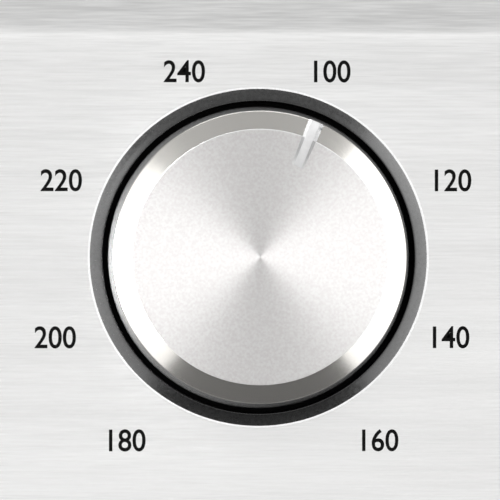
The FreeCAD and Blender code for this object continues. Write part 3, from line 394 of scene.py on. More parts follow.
def shaded(material, level):
    """Scale a material's colour by a value from its own nodes, which paints light and shade on it."""
    tree = material.node_tree
    shader = tree.nodes["Principled BSDF"]
    colour = shader.inputs["Base Color"].links[0].from_socket
    scaled = node(tree, "VectorMath", {0: colour, "Scale": level}, operation="SCALE").outputs[0]
    tree.links.new(scaled, shader.inputs["Base Color"])
    return material


def painted_fold_highlight(material, height):
    """Paint a highlight on brushed steel along a fold, just under the line where the sheet leans back."""
    tree = material.node_tree
    place = node(tree, "TexCoord", {}).outputs["Object"]
    level = node(tree, "SeparateXYZ", {0: place}).outputs[2]
    under = spread(tree, level, 0.0, 1.0, height - fold_highlight_below, height - fold_highlight_line)
    over = spread(tree, level, 1.0, 0.0, height, height + fold_highlight_above)
    both = node(tree, "Math", {0: under, 1: over}, operation="MULTIPLY").outputs[0]
    return shaded(material, spread(tree, both, 1.0, fold_highlight_gain, 0.0, 1.0))


def make_finishes():
    """One material for each slot of the record, and one for the outer wrap. The dial's two come later."""
    return {
        "brushed_steel": brushed_sheet("brushed_steel"),
        "wrap_steel": finish(
            "wrap_steel", (0.66, 0.66, 0.655), (0.76, 0.76, 0.755), (0.28, 0.42), (2200, 110, 2200),
            metal=1.0, bump=1.5 * MICRON, detail=3.0, along=along_y, Anisotropic=0.6,
        ),
        "plated_steel": finish(
            "plated_steel", (0.52, 0.53, 0.54), (0.60, 0.61, 0.62), (0.31, 0.37), (240, 1400, 1400),
            metal=1.0, bump=1.5 * MICRON, detail=3.0,
        ),
        "black_enamel": finish(
            "black_enamel", grey(0.012), grey(0.03), (0.12, 0.22), (420, 420, 420), bump=10 * MICRON,
            Coat_Weight=0.4, Coat_Roughness=0.08,
        ),
        "chrome_wire": finish(
            "chrome_wire", grey(0.62), grey(0.78), (0.07, 0.18), (300, 300, 300), metal=1.0, bump=2 * MICRON,
        ),
        "cast_zinc": finish(
            "cast_zinc", grey(0.50), grey(0.62), (0.28, 0.42), (900, 900, 900), metal=1.0, bump=6 * MICRON,
        ),
        "black_plastic": finish(
            "black_plastic", grey(0.010), grey(0.022), (0.38, 0.58), (2600, 2600, 2600), bump=20 * MICRON,
        ),
        "grey_plastic": finish(
            "grey_plastic", grey(0.20), grey(0.26), (0.40, 0.58), (1600, 1600, 1600), bump=10 * MICRON,
        ),
        "silver_plastic": finish(
            "silver_plastic", grey(0.54), grey(0.58), (0.28, 0.34), (3600, 3600, 3600), metal=0.65,
            bump=1 * MICRON,
        ),
        "blue_plastic": finish(
            "blue_plastic", (0.02, 0.10, 0.34), (0.03, 0.14, 0.42), (0.3, 0.45), (900, 900, 900),
            bump=8 * MICRON,
        ),
        "green_board": finish(
            "green_board", (0.008, 0.09, 0.035), (0.012, 0.15, 0.05), (0.2, 0.34), (700, 700, 700),
            bump=8 * MICRON,
        ),
        "rubber": finish(
            "rubber", grey(0.010), grey(0.022), (0.7, 0.9), (1500, 1500, 1500), bump=20 * MICRON,
        ),
        "door_glass": finish(
            "door_glass", (0.018, 0.019, 0.021), (0.022, 0.023, 0.025), (0.02, 0.05), (60, 60, 60),
            Alpha=0.20, IOR=1.5,
        ),
        "display_glass": finish(
            "display_glass", (0.004, 0.005, 0.007), (0.007, 0.008, 0.010), (0.03, 0.07), (90, 90, 90),
            Alpha=0.55, IOR=1.5,
        ),
        "display": finish(
            "display", (0.006, 0.016, 0.030), (0.010, 0.024, 0.042), (0.25, 0.4), (500, 500, 500),
        ),
        "quartz": finish(
            "quartz", (0.72, 0.70, 0.66), (0.86, 0.85, 0.82), (0.10, 0.30), (250, 900, 900), bump=4 * MICRON,
            Alpha=0.42,
        ),
        "heater_wire": finish(
            "heater_wire", (0.16, 0.13, 0.11), (0.34, 0.29, 0.25), (0.35, 0.6), (1200, 1200, 1200),
            metal=1.0, bump=10 * MICRON,
        ),
        "ceramic": finish(
            "ceramic", (0.72, 0.69, 0.62), (0.82, 0.80, 0.74), (0.5, 0.75), (1100, 1100, 1100),
            bump=10 * MICRON,
        ),
        "brass": finish(
            "brass", (0.60, 0.42, 0.16), (0.74, 0.55, 0.25), (0.18, 0.32), (900, 900, 900), metal=1.0,
            bump=4 * MICRON,
        ),
        "spring_steel": finish(
            "spring_steel", grey(0.34), grey(0.48), (0.22, 0.38), (1500, 1500, 1500), metal=1.0,
            bump=4 * MICRON,
        ),
    }


def spun(material):
    """Turn a material's anisotropic grain round the dial's axis."""
    tree = material.node_tree
    shader = tree.nodes["Principled BSDF"]
    round_axis = node(tree, "Tangent", {}, direction_type="RADIAL", axis="Y")
    tree.links.new(round_axis.outputs[0], shader.inputs["Tangent"])
    shader.inputs["Anisotropic Rotation"].default_value = quarter_turn
    return material


def painted_ring_shade(material):
    """Painted shade and light on the dial's ring: darkest right at its inner edge, and lightest at its outer
    edge.
    """
    tree = material.node_tree
    radius = node(tree, "SeparateXYZ", {0: round_dial(tree)}).outputs[0]
    edge_end = ring_inner + ring_edge_width
    edge = spread(tree, radius, ring_edge_tone, ring_inner_tone, ring_inner, edge_end)
    rise = spread(tree, radius, 0.0, ring_tone_rise, edge_end, ring_outer)
    return shaded(material, node(tree, "Math", {0: edge, 1: rise}, operation="ADD").outputs[0])


def painted_notch_run_out(material, length, gain):
    """Painted light and shade towards the notch's inner end, so that the notch runs out there."""
    tree = material.node_tree
    radius = node(tree, "SeparateXYZ", {0: round_dial(tree)}).outputs[0]
    return shaded(material, spread(tree, radius, gain, 1.0, notch_start, notch_start + length))


def glowing(material, colour, strength):
    """A material that also gives light."""
    shader = material.node_tree.nodes["Principled BSDF"]
    shader.inputs["Emission Color"].default_value = (*colour, 1)
    shader.inputs["Emission Strength"].default_value = strength
    return material


finishes = make_finishes()
finishes["spun_aluminium"] = spun(finish(
    "spun_aluminium", (0.73, 0.71, 0.705), (0.85, 0.845, 0.835), (0.50, 0.60), (2600, 2600, 2600), metal=1.0,
    bump=2.5 * MICRON, detail=3.0, cloud=0.0, Anisotropic=0.80,
))
# The fascia's brushed steel, with a painted highlight along its fold
fascia_steel = painted_fold_highlight(brushed_sheet("fascia_steel"), dial_centre.z + fold_height)
cut_metal = spun(finish(
    "cut_aluminium", (0.80, 0.78, 0.74), (0.86, 0.84, 0.80), (0.20, 0.25), (9000, 9000, 9000), metal=1.0,
    bump=0.4 * MICRON, detail=3.0, cloud=0.2, turned=True, Anisotropic=0.4,
))
# The ring's dark satin metal, with painted shade and light across it
finishes["dark_bezel"] = painted_ring_shade(spun(finish(
    "dark_bezel", grey(0.125), grey(0.15), (0.24, 0.32), (1800, 1800, 1800), metal=1.0, bump=2 * MICRON,
    detail=3.0, cloud=0.2, Anisotropic=0.4,
)))
cap_skirt = spun(finish(
    "cap_skirt", grey(0.48), grey(0.60), (0.20, 0.28), (5000, 5000, 5000), metal=0.97, bump=0.6 * MICRON,
    detail=3.0, cloud=0.1, turned=True, Anisotropic=0.5, Specular_Tint=(0.1, 0.1, 0.1, 1),
))
# A painted highlight for the face's edge
face_edge_highlight = finish(
    "face_edge_highlight", grey(0.82), grey(0.90), (0.34, 0.48), (1800, 1800, 1800), metal=0.4, bump=2 * MICRON,
)
# A painted highlight for the ring's lip
ring_lip_highlight = finish(
    "ring_lip_highlight", grey(0.87), grey(0.94), (0.30, 0.42), (1800, 1800, 1800), metal=0.4, bump=2 * MICRON,
)
# The notch's floor: pale cut metal, partly a painted highlight, darker towards the inner end. Its walls over
# the face: a grey that stands for painted shade, lighter towards that end.
notch_bottom = painted_notch_run_out(finish(
    "notch_bottom", grey(0.82), grey(0.90), (0.34, 0.48), (1800, 1800, 1800), metal=0.4, bump=2 * MICRON,
), length=3.0 * MM, gain=0.72)
notch_wall_shade = painted_notch_run_out(finish(
    "notch_wall_shade", grey(0.47), grey(0.55), (0.40, 0.52), (1800, 1800, 1800), metal=0.3, bump=2 * MICRON,
), length=1.9 * MM, gain=1.35)
notch_glint = finish(
    "notch_glint", grey(0.90), grey(0.96), (0.22, 0.32), (1800, 1800, 1800), metal=1.0, bump=1 * MICRON,
)
# The control housing: black plastic made darker and duller still, as painted shade in the gap round the dial
shaded_black_well = finish(
    "shaded_black_well", grey(0.003), grey(0.006), (0.5, 0.7), (2600, 2600, 2600), bump=10 * MICRON,
    Specular_IOR_Level=0.12,
)
ink = finish(
    "ink", grey(0.002), grey(0.004), (0.6, 0.8), (3000, 3000, 3000), bump=4 * MICRON,
    Specular_IOR_Level=0.12,
)
lit = glowing(finish(
    "lit_digits", (0.30, 0.62, 0.85), (0.36, 0.70, 0.92), (0.4, 0.6), (900, 900, 900),
), colour=(0.35, 0.75, 1.0), strength=1.6)


def dress_nodes():
    """Give each CAD node the material of its slot, or its own where it has one."""
    special = {
        "outer_wrap": finishes["wrap_steel"],
        "control_housing": shaded_black_well,
        "control_fascia": fascia_steel,
    }
    for part in frame["record"]["subparts"]:
        name = part["node"]
        for place in frame["nodes"][name].material_slots:
            place.material = special.get(name, finishes[part["material_slot"]])


def placed(name, mesh, material, body):
    """A new piece from a mesh that is already in the frame's coordinates."""
    piece = bpy.data.objects.new(name, mesh)
    bpy.context.scene.collection.objects.link(piece)
    if material:
        mesh.materials.clear()
        mesh.materials.append(material)
    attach(piece, body)
    return piece


def bridge(form, first, second):
    """Faces between two closed loops of the same length."""
    faces = []
    for step in range(len(first)):
        following = (step + 1) % len(first)
        faces.append(form.faces.new([first[step], first[following], second[following], second[step]]))
    return faces


def add_prism(form, front, back):
    """A closed form between two outlines."""
    form.faces.new(front)
    form.faces.new(back)
    bridge(form, front, back)


def finished_mesh(form, name, *materials):
    """A mesh from a form, with its faces turned outwards."""
    bmesh.ops.recalc_face_normals(form, faces=form.faces)
    mesh = bpy.data.meshes.new(name)
    for material in materials:
        mesh.materials.append(material)
    form.to_mesh(mesh)
    form.free()
    return mesh


def box_of(points):
    """The two corners of the box round some points."""
    low = Vector([min(point[i] for point in points) for i in range(3)])
    high = Vector([max(point[i] for point in points) for i in range(3)])
    return low, high


def rounded_run(corners, steps=4):
    """Points of an open profile. A corner with a radius is rounded, and held by a point on either side."""
    support = 1.6
    points = []
    for number, (u, v, radius) in enumerate(corners):
        here = Vector((u, v))
        if radius == 0 or number in (0, len(corners) - 1):
            points.append(here)
            continue
        before = Vector(corners[number - 1][:2])
        after = Vector(corners[number + 1][:2])
        into = (before - here).normalized()
        away = (after - here).normalized()
        half = into.angle(away) / 2
        back = radius / math.tan(half)
        centre = here + (into + away).normalized() * (radius / math.sin(half))
        first = here + into * back - centre
        last = here + away * back - centre
        turn = first.angle_signed(last)
        points.append(here + into * back * support)
        for step in range(steps + 1):
            share = step / steps
            points.append(centre + Matrix.Rotation(-turn * share, 2) @ first)
        points.append(here + away * back * support)
    return points


def lathe(points, centre, axis, side, steps):
    """A mesh turned round an axis, from radius and distance along it. The profile may end on the axis."""
    form = bmesh.new()
    other = axis.cross(side)
    rings = []
    for radius, along in points:
        middle = centre + axis * along
        if radius < MICRON / 10:
            rings.append([form.verts.new(middle)])
            continue
        ring = []
        for step in range(steps):
            angle = 2 * math.pi * step / steps
            spoke = side * math.cos(angle) + other * math.sin(angle)
            ring.append(form.verts.new(middle + spoke * radius))
        rings.append(ring)
    pairs = list(zip(rings, rings[1:]))
    if len(rings[0]) > 1:
        pairs.append((rings[-1], rings[0]))
    for first, second in pairs:
        for step in range(steps):
            following = (step + 1) % steps
            loop = [first[step % len(first)], first[following % len(first)]]
            loop += [second[following % len(second)], second[step % len(second)]]
            corners = list(dict.fromkeys(loop))
            if len(corners) > 2:
                form.faces.new(corners)
    return finished_mesh(form, "lathe")


def smooth(mesh, degrees=32):
    """Shade a mesh smoothly, but for its sharp edges."""
    mesh.shade_smooth()
    mesh.set_sharp_from_angle(angle=math.radians(degrees))
    return mesh


def real_mesh(item):
    """The mesh of an object as it is drawn."""
    bpy.context.view_layer.update()
    return bpy.data.meshes.new_from_object(item.evaluated_get(bpy.context.evaluated_depsgraph_get()))


def boolean_cut(mesh, cutter):
    """A mesh with another taken out of it."""
    body = bpy.data.objects.new("cut_body", mesh)
    tool = bpy.data.objects.new("cut_tool", cutter)
    for item in (body, tool):
        bpy.context.scene.collection.objects.link(item)
    change = body.modifiers.new("cut", "BOOLEAN")
    change.operation = "DIFFERENCE"
    change.object = tool
    change.solver = "EXACT"
    change.material_mode = "TRANSFER"
    made = real_mesh(body)
    for item in (body, tool):
        bpy.data.objects.remove(item)
    return made


def notch_stations():
    """Radius, height of the floor, depth and width of the walls, at places along the notch."""
    fall = (chamfer_depth + notch_rim_depth - notch_end_depth) / (rim_radius - notch_start)
    steps = notch_steps
    radii = [notch_start + notch_run * step / steps for step in range(steps)]
    radii += [face_radius + chamfer_width * step / steps for step in range(steps + 1)]
    stations = []
    for radius in radii:
        drop = notch_end_depth + fall * (radius - notch_start)
        surface = max(0, radius - face_radius) * chamfer_depth / chamfer_width
        share = (radius - notch_start) / (rim_radius - notch_start)
        wall = notch_end_wall + share * (notch_rim_wall - notch_end_wall)
        stations.append((radius, reach - drop, drop - surface, wall))
    radius, floor, depth, wall = stations[-1]
    stations.append((radius + notch_overrun, floor - fall * notch_overrun, depth, wall))
    return stations


def notch_cutter():
    """The pointer notch: a floor that falls outwards from the face, between walls that lean open."""
    form = bmesh.new()
    turn = Matrix.Rotation(notch_angle, 3, "Y")
    rows = []
    for radius, floor, depth, wall in notch_stations():
        low = notch_width / 2
        high = low + 2 * wall
        top = floor + 2 * depth
        row = []
        for across, along in ((-high, top), (-low, floor), (low, floor), (high, top)):
            row.append(form.verts.new(dial_centre + turn @ (RIGHT * across + OUT * along + UP * radius)))
        rows.append(row)
    for place, (first, second) in enumerate(zip(rows, rows[1:])):
        left, bottom, right, top = bridge(form, first, second)
        # Walls over the face get the grey of painted shade, those over the chamfer a bright metal
        left.material_index = right.material_index = 1 if place < notch_steps else 2
    form.faces.new(rows[0])
    form.faces.new(rows[-1])
    return finished_mesh(form, "notch", notch_bottom, notch_wall_shade, notch_glint)


def make_dial_cap():
    """The spun cap, with soft edges and its pointer notch."""
    rim = reach - chamfer_depth
    face_back = reach - face_wall
    corners = [
        (0, reach, 0),
        (face_radius, reach, cap_soft),
        (rim_radius, rim, rim_soft),
        (skirt_radius, -tuck, cap_soft),
        (skirt_radius - cap_wall, -tuck, cap_soft),
        (rim_radius - cap_wall, face_back - cap_wall, cap_soft),
        (face_radius - cap_wall / 2, face_back, cap_soft),
        (0, face_back, 0),
    ]
    mesh = lathe(rounded_run(corners), dial_centre, OUT, RIGHT, dial_steps)
    for material in (finishes["spun_aluminium"], cut_metal, face_edge_highlight, cap_skirt):
        mesh.materials.append(material)
    for face in mesh.polygons:
        spoke = face.center - dial_centre
        radius = math.hypot(spoke.x, spoke.z)
        if -spoke.y < rim - rim_soft / 4:
            face.material_index = 3
        # A painted highlight along the face's edge, all but its lowest part, which keeps the face's metal
        elif abs(radius - face_radius) < face_edge_width:
            face.material_index = 2 if spoke.z > face_edge_lowest * radius else 0
        elif radius > face_radius:
            face.material_index = 1
    cut = smooth(boolean_cut(mesh, notch_cutter()), cap_sharp)
    cap = placed("dial_cap", cut, None, "knob")
    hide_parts("knob_cap")
    return cap


def make_dial_ring():
    """The dark satin ring, with a painted highlight on the bevel round its outer edge."""
    sleeve = ring_inner + ring_wall
    middle = (ring_inner + ring_outer) / 2
    middle_height = (ring_height + ring_lip_height) / 2 + ring_bulge
    corners = [
        (ring_inner, 0, 0),
        (ring_inner, ring_height, ring_soft),
        (middle, middle_height, ring_bulge_radius),
        (ring_outer, ring_lip_height, ring_soft / 2),
        (ring_radius, ring_lip_height, ring_soft / 2),
        (ring_radius, 0, 0),
        (sleeve, 0, 0),
        (sleeve, -ring_sleeve, 0),
        (ring_inner, -ring_sleeve, 0),
    ]
    mesh = lathe(rounded_run(corners), dial_centre, OUT, RIGHT, dial_steps)
    ring = placed("dial_ring", smooth(mesh), finishes["dark_bezel"], "case")
    mesh.materials.append(ring_lip_highlight)
    for face in mesh.polygons:
        spoke = face.center - dial_centre
        # A painted highlight on the bevel round the outer edge
        if math.hypot(spoke.x, spoke.z) > ring_outer:
            face.material_index = 1
    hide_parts("knob_ring")
    return ring


def make_numbers():
    """Plain printed numbers at the eight places round the dial."""
    turn = Matrix.Rotation(math.pi / 2, 4, "X")
    for number, (across, upward) in label_places.items():
        curve = bpy.data.curves.new("number_" + number, "FONT")
        curve.body = number
        curve.offset = label_weight
        curve.extrude = label_extrude
        curve.resolution_u = 6
        item = bpy.data.objects.new("number", curve)
        bpy.context.scene.collection.objects.link(item)
        mesh = real_mesh(item)
        bpy.data.objects.remove(item)
        low, high = box_of([vertex.co for vertex in mesh.vertices])
        scale = label_height / (high.y - low.y)
        middle = (low + high) / 2
        place = dial_centre + RIGHT * across * pixel + UP * upward * pixel
        fit = Matrix.Diagonal((scale * label_stretch, scale, label_thickness / (high.z - low.z), 1))
        mesh.transform(Matrix.Translation(place) @ turn @ fit @ Matrix.Translation(-middle))
        placed("dial_number_" + number, mesh, ink, "case")


def pill_loops(form, place, half_width, half_height, rows):
    """Joined loops round a pill. Each row says how far out of its outline and of the fascia it is."""
    straight = half_width - half_height
    loops = []
    for grow, along in rows:
        loop = []
        for step in range(pill_steps):
            angle = 2 * math.pi * (step + 0.5) / pill_steps
            side = straight if math.cos(angle) > 0 else -straight
            across = side + (half_height + grow) * math.cos(angle)
            upward = (half_height + grow) * math.sin(angle)
            loop.append(form.verts.new(place + RIGHT * across + UP * upward + OUT * along))
        loops.append(loop)
    for first, second in zip(loops, loops[1:]):
        bridge(form, first, second)
    return loops


def make_button(name):
    """A moulded pill with a soft edge and a gentle crown, on its flange. Returns the middle of its face."""
    low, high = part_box(name)
    grip = button_flange_growth
    place = Vector(((low.x + high.x) / 2, dial_centre.y, (low.z + high.z) / 2))
    half_width = (high.x - low.x) / 2 - grip
    half_height = (high.z - low.z) / 2 - grip
    front = dial_centre.y - low.y
    edge = front - button_crown
    rows = []
    for share in button_crown_shares:
        rows.append((-share * half_height, front - button_crown * (1 - share) ** 2))
    for step in range(button_soft_steps + 1):
        angle = math.pi / 2 * step / button_soft_steps
        rows.append((button_soft * (math.sin(angle) - 1), edge - button_soft * (1 - math.cos(angle))))
    rows.append((0, -button_flange_depth))
    rows.append((grip, -button_flange_depth))
    rows.append((grip, -button_flange_depth - button_flange_sheet))
    form = bmesh.new()
    loops = pill_loops(form, place, half_width, half_height, rows)
    form.faces.new(loops[0])
    form.faces.new(loops[-1])
    mesh = smooth(finished_mesh(form, name + "_cap"), button_sharp)
    cap = placed(name + "_cap", mesh, finishes["silver_plastic"], name)
    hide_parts(name)
    return place + OUT * front


def flat_mark(name, place, outlines, body):
    """A thin printed mark, from outlines in the plane of the fascia."""
    form = bmesh.new()
    for outline in outlines:
        front = [form.verts.new(place + RIGHT * u + UP * v + OUT * mark_rise) for u, v in outline]
        back = [form.verts.new(vertex.co - OUT * mark_depth) for vertex in front]
        add_prism(form, front, back)
    return placed(name, finished_mesh(form, name), ink, body)


def ngon(radius, count, start=0.0, centre=(0, 0)):
    """Corners of a regular outline."""
    corners = []
    for step in range(count):
        angle = start + 2 * math.pi * step / count
        corners.append((centre[0] + radius * math.cos(angle), centre[1] + radius * math.sin(angle)))
    return corners


def bar(u0, v0, u1, v1, width):
    """The outline of a straight stroke."""
    along = Vector((u1 - u0, v1 - v0)).normalized() * width / 2
    return [
        (u0 - along.x + along.y, v0 - along.y - along.x),
        (u1 + along.x + along.y, v1 + along.y - along.x),
        (u1 + along.x - along.y, v1 + along.y + along.x),
        (u0 - along.x - along.y, v0 - along.y + along.x),
    ]


def hoop(radius, width, count=24):
    """A ring made of short outlines."""
    pieces = []
    inner = ngon(radius - width / 2, count)
    outer = ngon(radius + width / 2, count)
    for step in range(count):
        following = (step + 1) % count
        pieces.append([inner[step], outer[step], outer[following], inner[following]])
    return pieces


def make_buttons():
    """The five buttons with their marks, and a small sign over each pair."""
    up = [ngon(mark_size, 3, math.pi / 2)]
    down = [ngon(mark_size, 3, -math.pi / 2)]
    start = [ngon(mark_size, 3, 0)]
    marks = {
        "temperature_up_button": up,
        "temperature_down_button": down,
        "time_up_button": up,
        "time_down_button": down,
        "start_button": start,
    }
    for name, outlines in marks.items():
        face = make_button(name)
        flat_mark(name + "_mark", face, outlines, name)
    minute, hour = clock_hands
    clock = hoop(clock_radius, sign_stroke)
    clock += [bar(0, 0, 0, minute, sign_stroke), bar(0, 0, hour, 0, sign_stroke)]
    heat = [ngon(bulb_radius, 16, 0, (0, -bulb_drop)), bar(0, -bulb_drop, 0, stem_top, stem_width)]
    for name, outlines in (("temperature_up_button", heat), ("time_up_button", clock)):
        low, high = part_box(name)
        place = Vector(((low.x + high.x) / 2, dial_centre.y, high.z + sign_gap))
        flat_mark(name + "_sign", place, outlines, "case")


def make_handle_bar():
    """The round bar, with softly turned ends."""
    low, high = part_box("handle_bar")
    radius = (high.z - low.z) / 2
    length = high.x - low.x
    start = Vector((low.x, (low.y + high.y) / 2, (low.z + high.z) / 2))
    inner = handle_inner_share * radius
    dish = handle_dish
    corners = [
        (0, dish, 0),
        (inner, dish, handle_dish_soft),
        (inner + 2 * dish, 0, handle_dish_soft),
        (radius, 0, handle_end_soft),
        (radius, length, handle_end_soft),
        (inner + 2 * dish, length, handle_dish_soft),
        (inner, length - dish, handle_dish_soft),
        (0, length - dish, 0),
    ]
    mesh = lathe(rounded_run(corners, 6), start, RIGHT, UP, handle_steps)
    bar_piece = placed("handle_tube", smooth(mesh), finishes["brushed_steel"], "door")
    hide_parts("handle_bar")


def make_feet():
    """The moulded feet, with soft edges and a groove, and the ribbed pads under them."""
    foot_low, foot_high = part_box("feet")
    pad_low, pad_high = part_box("foot_pads")
    places = []
    for x in (foot_low.x + foot_radius, foot_high.x - foot_radius):
        for y in (foot_low.y + foot_radius, foot_high.y - foot_radius):
            places.append(Vector((x, y, cad_box[0][2])))
    low = foot_low.z
    high = foot_high.z - cad_box[0][2]
    foot_corners = [
        (pad_radius, low, 0),
        *((foot_tip_radius + out, low + rise, soft) for out, rise, soft in foot_side),
        (foot_radius, high, foot_top_soft),
        (screw_pocket_radius, high, 0),
        (screw_pocket_radius, pad_high.z, 0),
        (pad_radius, pad_high.z, 0),
    ]
    pad_corners = [
        (0, pad_rib, 0),
        *((pad_radius - inside, rise, soft) for inside, rise, soft in pad_side),
        (pad_radius - pad_draft, pad_high.z, 0),
        (0, pad_high.z, 0),
    ]
    kinds = (("feet", foot_corners, "black_plastic"), ("foot_pads", pad_corners, "rubber"))
    for node_name, corners, slot in kinds:
        form = bmesh.new()
        for place in places:
            form.from_mesh(lathe(rounded_run(corners), place, UP, RIGHT, foot_steps))
        mesh = smooth(finished_mesh(form, node_name))
        piece = placed("moulded_" + node_name, mesh, finishes[slot], "case")
        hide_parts(node_name)


def near_groups(points, spacing):
    """Points gathered into groups that stand further apart than the spacing."""
    groups = []
    for point in points:
        for group in groups:
            if (group[0] - point).length < spacing:
                group.append(point)
                break
        else:
            groups.append([point])
    return groups


def cross_cutter(seat, axis, turn):
    """A cross recess for a screw's head, narrower and shorter at its bottom."""
    side = Matrix.Rotation(turn, 3, axis) @ RIGHT
    other = axis.cross(side)
    crown = seat - axis * screw_head_height
    form = bmesh.new()
    loops = []
    for wide, long, depth in recess_levels:
        outline = [
            (wide, wide), (long, wide), (long, -wide),
            (wide, -wide), (wide, -long), (-wide, -long),
            (-wide, -wide), (-long, -wide), (-long, wide),
            (-wide, wide), (-wide, long), (wide, long),
        ]
        loops.append([form.verts.new(crown + side * u + other * v + axis * depth) for u, v in outline])
    add_prism(form, *loops)
    return finished_mesh(form, "recess", finishes["plated_steel"])


def make_screw(points, turn):
    """A pan-head screw in place of one whose points are given. Its head is at the back, or underneath."""
    low, high = box_of(points)
    middle = (low + high) / 2
    if high.y - low.y > high.z - low.z:
        axis = OUT
        seat = Vector((middle.x, high.y - screw_head_height, middle.z))
        length = high.y - low.y - screw_head_height
    else:
        axis = UP
        seat = Vector((middle.x, middle.y, low.z + screw_head_height))
        length = high.z - low.z - screw_head_height
    corners = [
        (0, -screw_head_height, 0),
        (screw_crown_radius, -screw_head_height, screw_crown_soft),
        (screw_head_radius, 0, screw_head_soft),
        (screw_radius, 0, 0),
        (screw_radius, length, 0),
        (0, length, 0),
    ]
    mesh = lathe(rounded_run(corners), seat, axis, RIGHT, screw_steps)
    mesh.materials.append(finishes["plated_steel"])
    return boolean_cut(mesh, cross_cutter(seat, axis, turn))


def make_screws():
    """The case screws, with a cross recess in each head. Each is turned by an angle of its own."""
    item = frame["nodes"]["case_screws"]
    points = [item.matrix_world @ vertex.co for vertex in item.data.vertices]
    form = bmesh.new()
    for number, group in enumerate(near_groups(points, screw_spacing)):
        form.from_mesh(make_screw(group, number * screw_turn))
    mesh = smooth(finished_mesh(form, "case_screws"))
    screws = placed("driven_screws", mesh, finishes["plated_steel"], "case")
    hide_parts("case_screws")


def make_heater_wires():
    """The coiled wires inside the quartz tubes, which the CAD holds as plain rods."""
    upper_low, upper_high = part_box("upper_quartz_tubes")
    lower_low, lower_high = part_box("lower_quartz_tubes")
    radius = (upper_high.z - upper_low.z) / 2
    curve = bpy.data.curves.new("heater_wires", "CURVE")
    curve.dimensions = "3D"
    curve.bevel_depth = heater_wire_radius
    curve.bevel_resolution = 1
    turn = coil_radius - heater_wire_radius
    for low, high in ((upper_low, upper_high), (lower_low, lower_high)):
        for y in (low.y + radius, high.y - radius):
            count = int((high.x - low.x) / coil_pitch * coil_points)
            line = curve.splines.new("POLY")
            line.points.add(count)
            for number, spot in enumerate(line.points):
                angle = 2 * math.pi * number / coil_points
                x = low.x + (high.x - low.x) * number / count
                z = low.z + radius + turn * math.sin(angle)
                spot.co = (x, y + turn * math.cos(angle), z, 1)
    wires = bpy.data.objects.new("heater_wires", curve)
    bpy.context.scene.collection.objects.link(wires)
    curve.materials.append(finishes["heater_wire"])
    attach(wires, "case")
    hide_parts("heating_coils")


def digit_outlines(letter, across, height, tall):
    """The outlines of a figure's bars, or of a colon's dots, and where the next one starts."""
    half = tall / 2
    wide = tall * digit_width
    thick = tall * digit_stroke
    if letter == ":":
        dots = []
        for side in (-1, 1):
            centre = (across, height + side * half * dot_spacing)
            dots.append(ngon(thick * dot_share, 12, 0, centre))
        return dots, across + wide * dot_step
    bars = []
    corner = Vector((across, height))
    for key in digit_shapes[letter]:
        start, end = [corner + Vector((u * wide, v * half)) for u, v in digit_bars[key]]
        trim = (end - start).normalized() * thick * digit_bar_share
        start += trim
        end -= trim
        bars.append(bar(start.x, start.y, end.x, end.y, thick * digit_bar_share))
    return bars, across + wide * digit_step


def make_digits():
    """Lit seven-bar numbers on the display module, seen through its window."""
    low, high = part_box("display_window")
    middle = (low + high) / 2
    turn = Matrix.Rotation(-display_lean, 3, "X")
    form = bmesh.new()
    for row, tall, height, across in digit_rows:
        for letter in row:
            outlines, across = digit_outlines(letter, across, height, tall)
            for outline in outlines:
                front = []
                for u, v in outline:
                    slant = (v - height) * digit_slant
                    front.append(form.verts.new(middle + turn @ Vector((u + slant, digit_depth, v))))
                back = [form.verts.new(vertex.co + turn @ Vector((0, digit_sheet, 0))) for vertex in front]
                add_prism(form, front, back)
    placed("display_digits", finished_mesh(form, "display_digits"), lit, "case")


def make_camera():
    """The photograph's close view of the dial."""
    data = bpy.data.cameras.new("photo_camera")
    camera = bpy.data.objects.new("photo_camera", data)
    bpy.context.scene.collection.objects.link(camera)
    camera.location = dial_centre + view_from + OUT * view_distance
    target = dial_centre + view_centre
    camera.rotation_euler = (target - camera.location).to_track_quat("-Z", "Y").to_euler()
    data.sensor_width = 36
    data.lens = data.sensor_width * view_distance / view_width
    data.clip_end = 50
    bpy.context.scene.camera = camera


def soft_light(name, place, aim, width, height, power):
    """A soft area light that the camera doesn't see."""
    data = bpy.data.lights.new(name, "AREA")
    data.shape = "RECTANGLE"
    data.size = width
    data.size_y = height
    data.energy = power
    light = bpy.data.objects.new(name, data)
    bpy.context.scene.collection.objects.link(light)
    light.location = place
    light.rotation_euler = (aim - place).to_track_quat("-Z", "Y").to_euler()
    light.visible_camera = False
    return light


def aim_only(light, pieces, state):
    """Let a light reach only some pieces (INCLUDE), or all but those (EXCLUDE)."""
    group = bpy.data.collections.new("light_group")
    for piece in pieces:
        group.objects.link(piece)
    for entry in group.collection_objects:
        entry.light_linking.link_state = state
    light.light_linking.receiver_collection = group


def side_lights(boxes, pieces, state):
    """Two tall soft boxes beside the dial, which the chamfer mirrors."""
    for side, (power, tall, drop) in zip((-1, 1), boxes):
        place = dial_centre + RIGHT * side * side_box_reach + OUT * side_box_out - UP * drop
        light = soft_light("side_light", place, place - RIGHT * side, tall, side_box_depth, power)
        light.rotation_euler = (0, side * math.pi / 2, 0)
        aim_only(light, pieces, state)


def skirt_light(cap):
    """A narrow strip close over the fascia at the left, for the dial's cap alone. The skirt mirrors it."""
    target = dial_centre + OUT * reach * skirt_aim_share
    place = target - RIGHT * skirt_light_left - UP * skirt_light_down
    width = reach * skirt_light_share
    light = soft_light("skirt_light", place, target, width, skirt_light_length, skirt_power)
    aim_only(light, [cap], "INCLUDE")


def back_light(spared):
    """A wide soft box behind the oven, for its rear panel."""
    light = soft_light("back_light", Vector(back_box_place), Vector(back_box_aim), *back_box, back_power)
    aim_only(light, spared, "EXCLUDE")


def front_light(spared):
    """A wide soft box behind the photograph's camera, a little below the dial's height."""
    place = dial_centre + OUT * front_box_out - UP * front_box_down
    light = soft_light("front_light", place, dial_centre, *front_box, front_power)
    aim_only(light, spared, "EXCLUDE")


